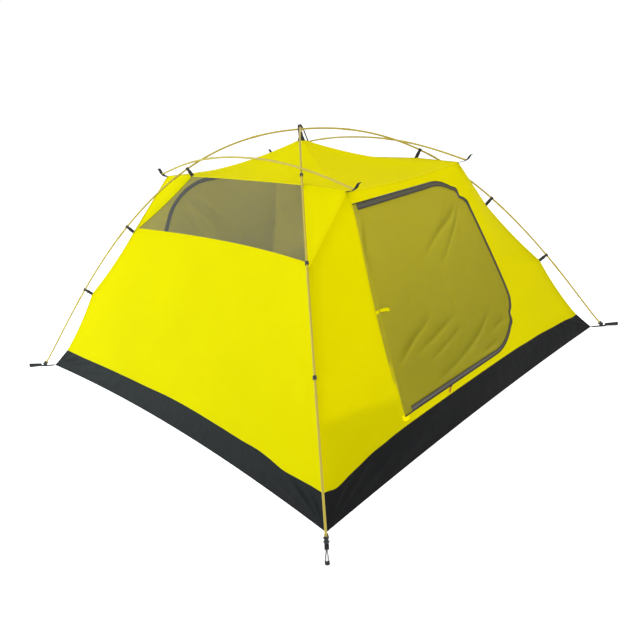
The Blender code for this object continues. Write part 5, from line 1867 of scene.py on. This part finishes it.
def softened(points, rounds):
    """A path with its corners cut off again and again, its two ends kept."""
    for _ in range(rounds):
        cut = [points[0]]
        for a, b in zip(points, points[1:]):
            cut += [a.lerp(b, 0.25), a.lerp(b, 0.75)]
        points = cut + [points[-1]]
    return points


def bar_tack(name, axes, at, half, height, rows):
    """Close rows of thread across a strap, on its upper face."""
    chains = []
    for i in range(rows):
        x = at + TACK_ROW * (i - (rows - 1) / 2)
        chains.append([axes @ Vector((x, half * u, height)) for u in spans(8)])
    up = axes.to_3x3() @ Z_WAY
    lifts = [[up] * len(chain) for chain in chains]
    return stitches(name, chains, lifts, web_thread, TACK_PITCH, TACK_STITCH)


def drop_path(start, stop, half_width):
    """Middle line of the peg loop seen from above: a point at the start and a round end."""
    centre = stop - half_width
    lean = math.acos(half_width / (centre - start))
    path = [Vector((start, 0.0))]
    for t in shares(24):
        angle = lean - math.pi + (2 * math.pi - 2 * lean) * t
        path.append(Vector((centre + half_width * math.cos(angle), half_width * math.sin(angle))))
    path.append(Vector((start, 0.0)))
    full = []
    for a, b in zip(path, path[1:]):
        steps = max(1, int((b - a).length / LOOP_PITCH))
        full += [a.lerp(b, t) for t in shares(steps)[:-1]]
    return full + [path[-1]]


for name, side, end in CORNERS:
    outward = mirrored(diagonal, side, end)
    axes = axes_from(mirrored(floor_corner, side, end), outward, Z_WAY)
    half = STRAP_WIDTH / 2
    strip = [(0.0009, -half * 0.15), (half, -half), (LOOP_START * 0.5, -half),
             (LOOP_START + 0.004, -half * 1.1)]
    strip += [(x, -y) for x, y in reversed(strip)]
    pieces = [rounded(slab(name + "_strap_web", strip, axes, 0.0, STRAP_THICK, webbing, 0.0006), 40)]
    path = drop_path(LOOP_START + STRAP_THICK, LOOP_START + LOOP_LENGTH - STRAP_THICK / 2,
                     LOOP_WIDTH / 2 - STRAP_THICK / 2)
    middle = []
    leans = []
    for i, p in enumerate(path):
        t = i / (len(path) - 1)
        sway = 0.0006 * math.sin(2 * math.pi * t)
        middle.append(axes @ Vector((p.x, p.y, LOOP_HEIGHT * 0.5 + sway)))
        lean = Vector((0.03 * math.cos(math.pi * t), 0.10 * math.sin(2 * math.pi * t), 1.0))
        leans.append(axes.to_3x3() @ lean)
    loop = band(name + "_loop", middle, leans, LOOP_HEIGHT - 0.0016, STRAP_THICK, webbing)
    pieces.append(rounded(loop, 60))
    fold_up = [axes @ Vector((LOOP_START - 0.004 + 0.010 * t, 0.0, STRAP_THICK + 0.008 * t ** 2))
               for t in shares(6)]
    sideways = [axes.to_3x3() @ Y_WAY] * len(fold_up)
    turn_up = band(name + "_fold", fold_up, sideways, half * 1.6, STRAP_THICK * 0.8, webbing)
    pieces.append(rounded(turn_up, 60))
    tack_up = STRAP_THICK + 0.0003
    pieces.append(bar_tack(name + "_tack_inner", axes, 0.014, half * 0.78, tack_up, 3))
    pieces.append(bar_tack(name + "_tack_outer", axes, LOOP_START - 0.008, half * 0.66, tack_up, 4))
    strap = joined(name + "_peg_strap", pieces)
    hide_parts(name + "_strap")
    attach(strap, "tent")

for name, side, end in CORNERS:
    tip = Vector((brow_tip.y, brow_tip.z))
    near_tip = brow_pole_point(brow_tip.y * 22 / 24)
    out = (tip - Vector((near_tip.y, near_tip.z))).normalized()
    seat = tip + out * 0.0003 - Vector((-out.y, out.x)) * (POLE_RADIUS + 0.0003)
    tail = Vector((math.cos(BROW_TAB_RISE), math.sin(BROW_TAB_RISE)))
    top = seat + tail * BROW_TAB_TAIL
    curl = top + Vector((BROW_TAB_TAIL * 0.18, 0.0))
    start = Vector((BROW_Y + STRAP_THICK, BROW_Z - NYLON))
    drop = Vector((0.0, -STRAP_THICK / 2))
    flat = softened([start + drop, seat + drop, top + Vector((0.0008, -0.0006)), curl + drop], 4)
    line = [mirrored(Vector((brow_pole_x, p.x, p.y)), side, end) for p in flat]
    web = band(name + "_brow_web", line, [X_WAY] * len(line), BROW_TAB_WIDTH, STRAP_THICK, webbing)
    flat = softened([seat + tail * 0.010, seat + tail * 0.018 + Vector((0.0012, -0.0012)),
                     seat + tail * 0.030, top - tail * 0.002], 3)
    line = [mirrored(Vector((brow_pole_x, p.x + 0.0016, p.y - 0.0012)), side, end) for p in flat]
    cuff = band(name + "_brow_cuff", line, [X_WAY] * len(line), BROW_TAB_WIDTH - 0.002, STRAP_THICK * 0.8,
                webbing)
    base = mirrored(Vector((brow_pole_x, (start.x + seat.x) / 2, (start.y + seat.y) / 2)), side, end)
    along = mirrored(Vector((0.0, seat.x - start.x, seat.y - start.y)), side, end)
    tack_axes = axes_from(base, along, Z_WAY)
    tack = bar_tack(name + "_brow_tack", tack_axes, -0.010, BROW_TAB_WIDTH * 0.36, 0.0004, 3)
    tab = joined(name + "_brow_webbing", [rounded(web, 60), rounded(cuff, 60), tack])
    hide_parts(name + "_brow_tab")
    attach(tab, "tent")


# Crown. A moulded saddle sits over the upper pole where the two cross. A narrow webbing band goes
# over it and is sewn to the roof on both sides of the peak, which it holds up.

CROWN_NEAR = 0.0118
CROWN_FAR = 0.050
CROWN_WIDTH = 0.008
CROWN_THICK = 0.0015
CROWN_PAD = 0.0075
CROWN_PLAY = 0.0003
ROOF_CAD_RINGS = 7
CONE_SIDES = 16
CONE_PROFILE = ((-0.008, 0.019), (0.000, 0.017), (0.012, 0.012), (0.024, 0.0075), (0.032, 0.0060))

crown_inner = POLE_RADIUS + CROWN_PLAY
crown_half = crown_inner + CLIP_WALL
crown_top = crown_inner + CROWN_PAD
saddle = [(-crown_half, -POLE_RADIUS / 2), (-crown_inner, -POLE_RADIUS / 2)]
for t in shares(16):
    angle = math.pi * t
    saddle.append((-crown_inner * math.cos(angle), crown_inner * math.sin(angle)))
saddle += [(crown_inner, -POLE_RADIUS / 2), (crown_half, -POLE_RADIUS / 2),
           (crown_half, POLE_RADIUS * 0.9)]
for t in shares(8):
    angle = math.pi * t
    saddle.append((crown_half * 0.62 * math.cos(angle) + crown_half * 0.18 * math.cos(angle) ** 3,
                   POLE_RADIUS + (crown_top - POLE_RADIUS) * min(1.0, 1.25 * math.sin(angle))))
saddle.append((-crown_half, POLE_RADIUS * 0.9))
crossing = Vector((0.0, 0.0, CROSSING_HEIGHT + HALF_STACK))
upper_way = Vector((diagonal.x, diagonal.y, 0.0))
saddle_axes = Matrix.Translation(crossing - upper_way * (CROWN_WIDTH / 2)) @ Matrix((
    Vector((-diagonal.y, diagonal.x, 0.0)), Z_WAY, upper_way)).transposed().to_4x4()
cap = rounded(slab("crown_saddle", saddle, saddle_axes, 0.0, CROWN_WIDTH, plastic, 0.0005), 35)
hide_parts("crown_cap")
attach(cap, "tent")


def roof_near_peak(x):
    """Height of the roof close to its peak, at a distance from it along X."""
    ring_share = (ROOF_CAD_RINGS - 1) / ROOF_CAD_RINGS
    fall = (PEAK_HEIGHT - top_corner.z) * (1 - ring_share ** ROOF_SWEEP)
    return PEAK_HEIGHT - fall * x / (roof_mid_x * (1 - ring_share))


over = crossing.z + crown_top + CROWN_PLAY + CROWN_THICK / 2
near_foot = roof_near_peak(CROWN_NEAR) + CROWN_PLAY * 2
far_foot = roof_near_peak(CROWN_FAR) + CROWN_PLAY * 2
near_x = -CROWN_NEAR - CROWN_THICK / 2
far_x = CROWN_FAR + CROWN_THICK * 0.55
line = softened([
    Vector((near_x, 0.0, near_foot)), Vector((near_x, 0.0, over - 0.006)),
    Vector((near_x * 0.8, 0.0, over)), Vector((-near_x * 0.8, 0.0, over)),
    Vector((far_x, 0.0, far_foot))], 4)
web = rounded(band("crown_web", line, [Y_WAY] * len(line), CROWN_WIDTH, CROWN_THICK, webbing), 60)
line = [Vector((near_x * 0.94 + 0.0004, 0.0, near_foot + 0.020 * (1 - t))) for t in shares(6)]
foot_fold = band("crown_foot", line, [Y_WAY] * len(line), CROWN_WIDTH, CROWN_THICK * 2.2, webbing)
cone = []
for height, radius in CONE_PROFILE:
    for k in range(CONE_SIDES):
        angle = 2 * math.pi * k / CONE_SIDES
        squareness = 1 + 0.18 * math.cos(4 * angle)
        cone.append((radius * squareness * math.cos(angle), radius * squareness * math.sin(angle),
                     PEAK_HEIGHT + height))
cone_faces = quads(len(CONE_PROFILE), CONE_SIDES, True)
cone_faces += [tuple(range(len(cone) - CONE_SIDES, len(cone))), tuple(range(CONE_SIDES - 1, -1, -1))]
patch = rounded(built("crown_patch", cone, cone_faces, webbing), 50)
crown_band = joined("crown_webbing", [web, rounded(foot_fold, 60), patch])
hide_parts("crown_strap")
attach(crown_band, "tent")


# Seams. The seams of the canopy are turned under and topstitched, so a flat ridge runs along
# each, with a painted shadow at both edges and a faint painted highlight on it. The windows are
# bound darker. A net strip takes up the bow of each door's hinge edge, and a doubled patch takes
# the pull at its foot.

SEAM_RIDGE = 0.0008
# Across a seam strip, edge to edge: a painted shadow at both edges and a faint painted highlight on the
# ridge.
SEAM_PAINTED_SHADES = (-1.5, 0.3, 0.0, 0.3, -1.5)
# The window binding's own darker tone, edge to edge.
BOUND_SHADES = (-4.0, -3.6, -3.4, -3.6, -4.0)
# Across the leg seam: painted shade, darkest at both edges, and a faint painted highlight in the middle.
LEG_SEAM_PAINTED_SHADES = (-1.2, -0.2, 0.2, -0.2, -1.2)
HINGE_BOW = (
    (0.049, 0.0), (0.12, 0.013), (0.22, 0.019), (0.38, 0.021), (0.52, 0.018), (0.65, 0.012), (0.78, 0.005),
    (0.893, 0.0),
)
HINGE_STEPS = 48
SEAM_LIFT = 0.0008
SEAM_OFF = 0.005
TUB_SEAM_STEPS = 120
TUB_SEAM_SHARE = 0.995
PATCH = (
    (-0.018, -0.004), (-0.008, -0.014), (0.010, -0.015), (0.021, -0.010), (0.022, -0.002),
    (-0.001, -0.001), (-0.003, 0.010), (-0.014, 0.010),
)
TIE_ROOT = ((-0.018, 0.004), (-0.001, 0.0055), (-0.001, -0.0065), (-0.018, -0.008))
HINGE_CLEAR = 0.0015

gusset_out = GUSSET_FACING.normalized()
end_out = Vector((0.0, -wall_out.y, wall_out.z))
side_out = Vector((end_out.y, 0.0, end_out.z))


def seam_sides(path, outs):
    """The direction across a seam at each of its points."""
    last = len(path) - 1
    return [(path[min(i + 1, last)] - path[max(i - 1, 0)]).normalized().cross(outs[i]).normalized()
            for i in range(len(path))]


def seam_strip(name, path, outs, width, shades, bend):
    """A flat ridge along a path, folded over the bend between the two cloths it joins, with the given
    shades across it: painted shadow and highlight on a seam, a binding's own darker tone.
    """
    points = []
    spots = []
    painted_shade_and_binding_tone = []
    run = 0.0
    for i, (here, out, side) in enumerate(zip(path, outs, seam_sides(path, outs))):
        run += (here - path[i - 1]).length if i else 0.0
        for k, shade in enumerate(shades):
            s = k / 2 - 1
            rise = 0.0003 + SEAM_RIDGE * (1 - s * s) - bend * width / 2 * abs(s)
            points.append(here + side * (width / 2 * s) + out * rise)
            spots.append((run, width / 2 * s))
            painted_shade_and_binding_tone.append(shade)
    return cloth(name, points, quads(len(path), len(shades)), spots, NYLON, nylon, painted_shade_and_binding_tone)


def seam_rows(path, outs, off, bend, rise=0.0007):
    """Chains for two rows of stitches at a distance on both sides of a seam."""
    sides = seam_sides(path, outs)
    return [[p + side * (off * way) + out * (rise - bend * off)
             for p, side, out in zip(path, sides, outs)] for way in (-1, 1)]


def sewn(name, strips, chains, lifts, thread):
    """One object of a set of seams with their stitches."""
    sewing = stitches(name + "_stitches", chains, lifts, thread)
    seams = joined(name, strips + [sewing])
    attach(seams, "tent")


for name, side, end in CORNERS:
    strips = []
    chains = []
    lifts = []
    window_edge = [along_path(leg_upper, window_share + (1 - window_share) * t) for t in shares(12)]
    low_leg = leg_lower + [along_path(leg_upper, window_share * t) for t in shares(4)[1:]]
    for label, path, out, width, shades, bend in (
            ("leg", low_leg, (side_out + end_out).normalized(), 0.006, LEG_SEAM_PAINTED_SHADES, 0.75),
            ("brow", brow_seam, (gusset_out + end_out).normalized(), 0.009, SEAM_PAINTED_SHADES, 0.33),
            ("window", window_edge, (gusset_out + side_out).normalized(), 0.007, BOUND_SHADES, 0.33)):
        path = [mirrored(p, side, end) for p in path]
        outs = [mirrored(out, side, end)] * len(path)
        strips.append(seam_strip(name + "_" + label + "_seam", path, outs, width, shades, bend))
        chains += seam_rows(path, outs, width * 0.32, bend)
        lifts += [outs, outs]
    sewn(name + "_corner_seams", strips, chains, lifts, yellow_thread)

path = rim + [rim[0]]
outs = []
for i, p in enumerate(path):
    along = path[(i + 1) % ring] - path[(i - 1) % ring]
    level = Vector((along.y, -along.x, 0.0)).normalized()
    outs.append((level * (1 if level.dot(p) > 0 else -1) + Vector((0.0, 0.0, 1.1))).normalized())
sewn("roof_seams", [seam_strip("roof_seam", path, outs, 0.008, SEAM_PAINTED_SHADES, 0.45)],
     seam_rows(path, outs, 0.0026, 0.45), [outs, outs], yellow_thread)

chains = []
lifts = []
for side in (LEFT, RIGHT):
    first, second = side_wall_rows(SIDE_DROPS[side])[:2]
    out = mirrored(side_out, side, side)
    chains.append([mirrored(a + (b - a).normalized() * SEAM_OFF, side, side) + out * SEAM_LIFT
                   for a, b in zip(first, second)])
    lifts.append([out] * len(first))
for end in (FRONT, REAR):
    out = turned(wall_out, end)
    row = []
    for u in spans(TUB_SEAM_STEPS):
        u *= TUB_SEAM_SHARE
        along, away, rise = tub_point(END_TUB, u, seam_share(END_TUB, u, END_DROPS[end]))
        row.append(turned(Vector((along, -away, rise)) + wall_up * SEAM_OFF, end) + out * SEAM_LIFT)
    chains.append(row)
    lifts.append([out] * len(row))
tub_sewing = stitches("tub_seam_stitches", chains, lifts, yellow_thread)
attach(tub_sewing, "tent")

hinge_ups = [DOOR_SILL + (DOOR_HEAD - DOOR_SILL) * t for t in shares(HINGE_STEPS)]
for word, end in ENDS:
    points = []
    spots = []
    shades = []
    for up in hinge_ups:
        foot = hinge_point(up, 0.0005)
        bow = smooth_value(HINGE_BOW, up)
        for k in range(4):
            off = HINGE_CLEAR + max(bow - HINGE_CLEAR, 0.0002) * k / 3
            points.append(turned(foot - X_WAY * off, end))
            spots.append((off, up))
            # The hinge strip is painted darker towards its foot, like the door leaf.
            shades.append(painted_door_shade(up))
    strip = cloth(word + "_hinge_net", points, quads(len(hinge_ups), 4), spots, NET, door_net, shades)
    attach(strip, "tent")
    bows = [max(smooth_value(HINGE_BOW, up), 2 * HINGE_CLEAR) + 0.001 for up in hinge_ups]
    path = [turned(hinge_point(up) - X_WAY * bow, end) for up, bow in zip(hinge_ups, bows)]
    outs = [turned(wall_out, end)] * len(path)
    strips = [seam_strip(word + "_hinge_seam", path, outs, 0.005, SEAM_PAINTED_SHADES, 0.0)]
    # The patch and the root of the tie are painted paler than the panel: a painted highlight.
    for label, up, outline, shade in (("patch", DOOR_SILL, PATCH, 1.6),
                                      ("tie_root", TIE_UP, TIE_ROOT, 1.0)):
        points = [turned(hinge_point(up, 0.0010) + X_WAY * x + wall_up * y, end) for x, y in outline]
        whole = tuple(range(len(points)))
        strips.append(cloth(word + "_hinge_" + label, points, [whole], outline, 0.0014, nylon,
                            [shade] * len(points)))
    sewn(word + "_hinge_seams", strips, seam_rows(path, outs, 0.0012, 0.0), [outs, outs], yellow_thread)
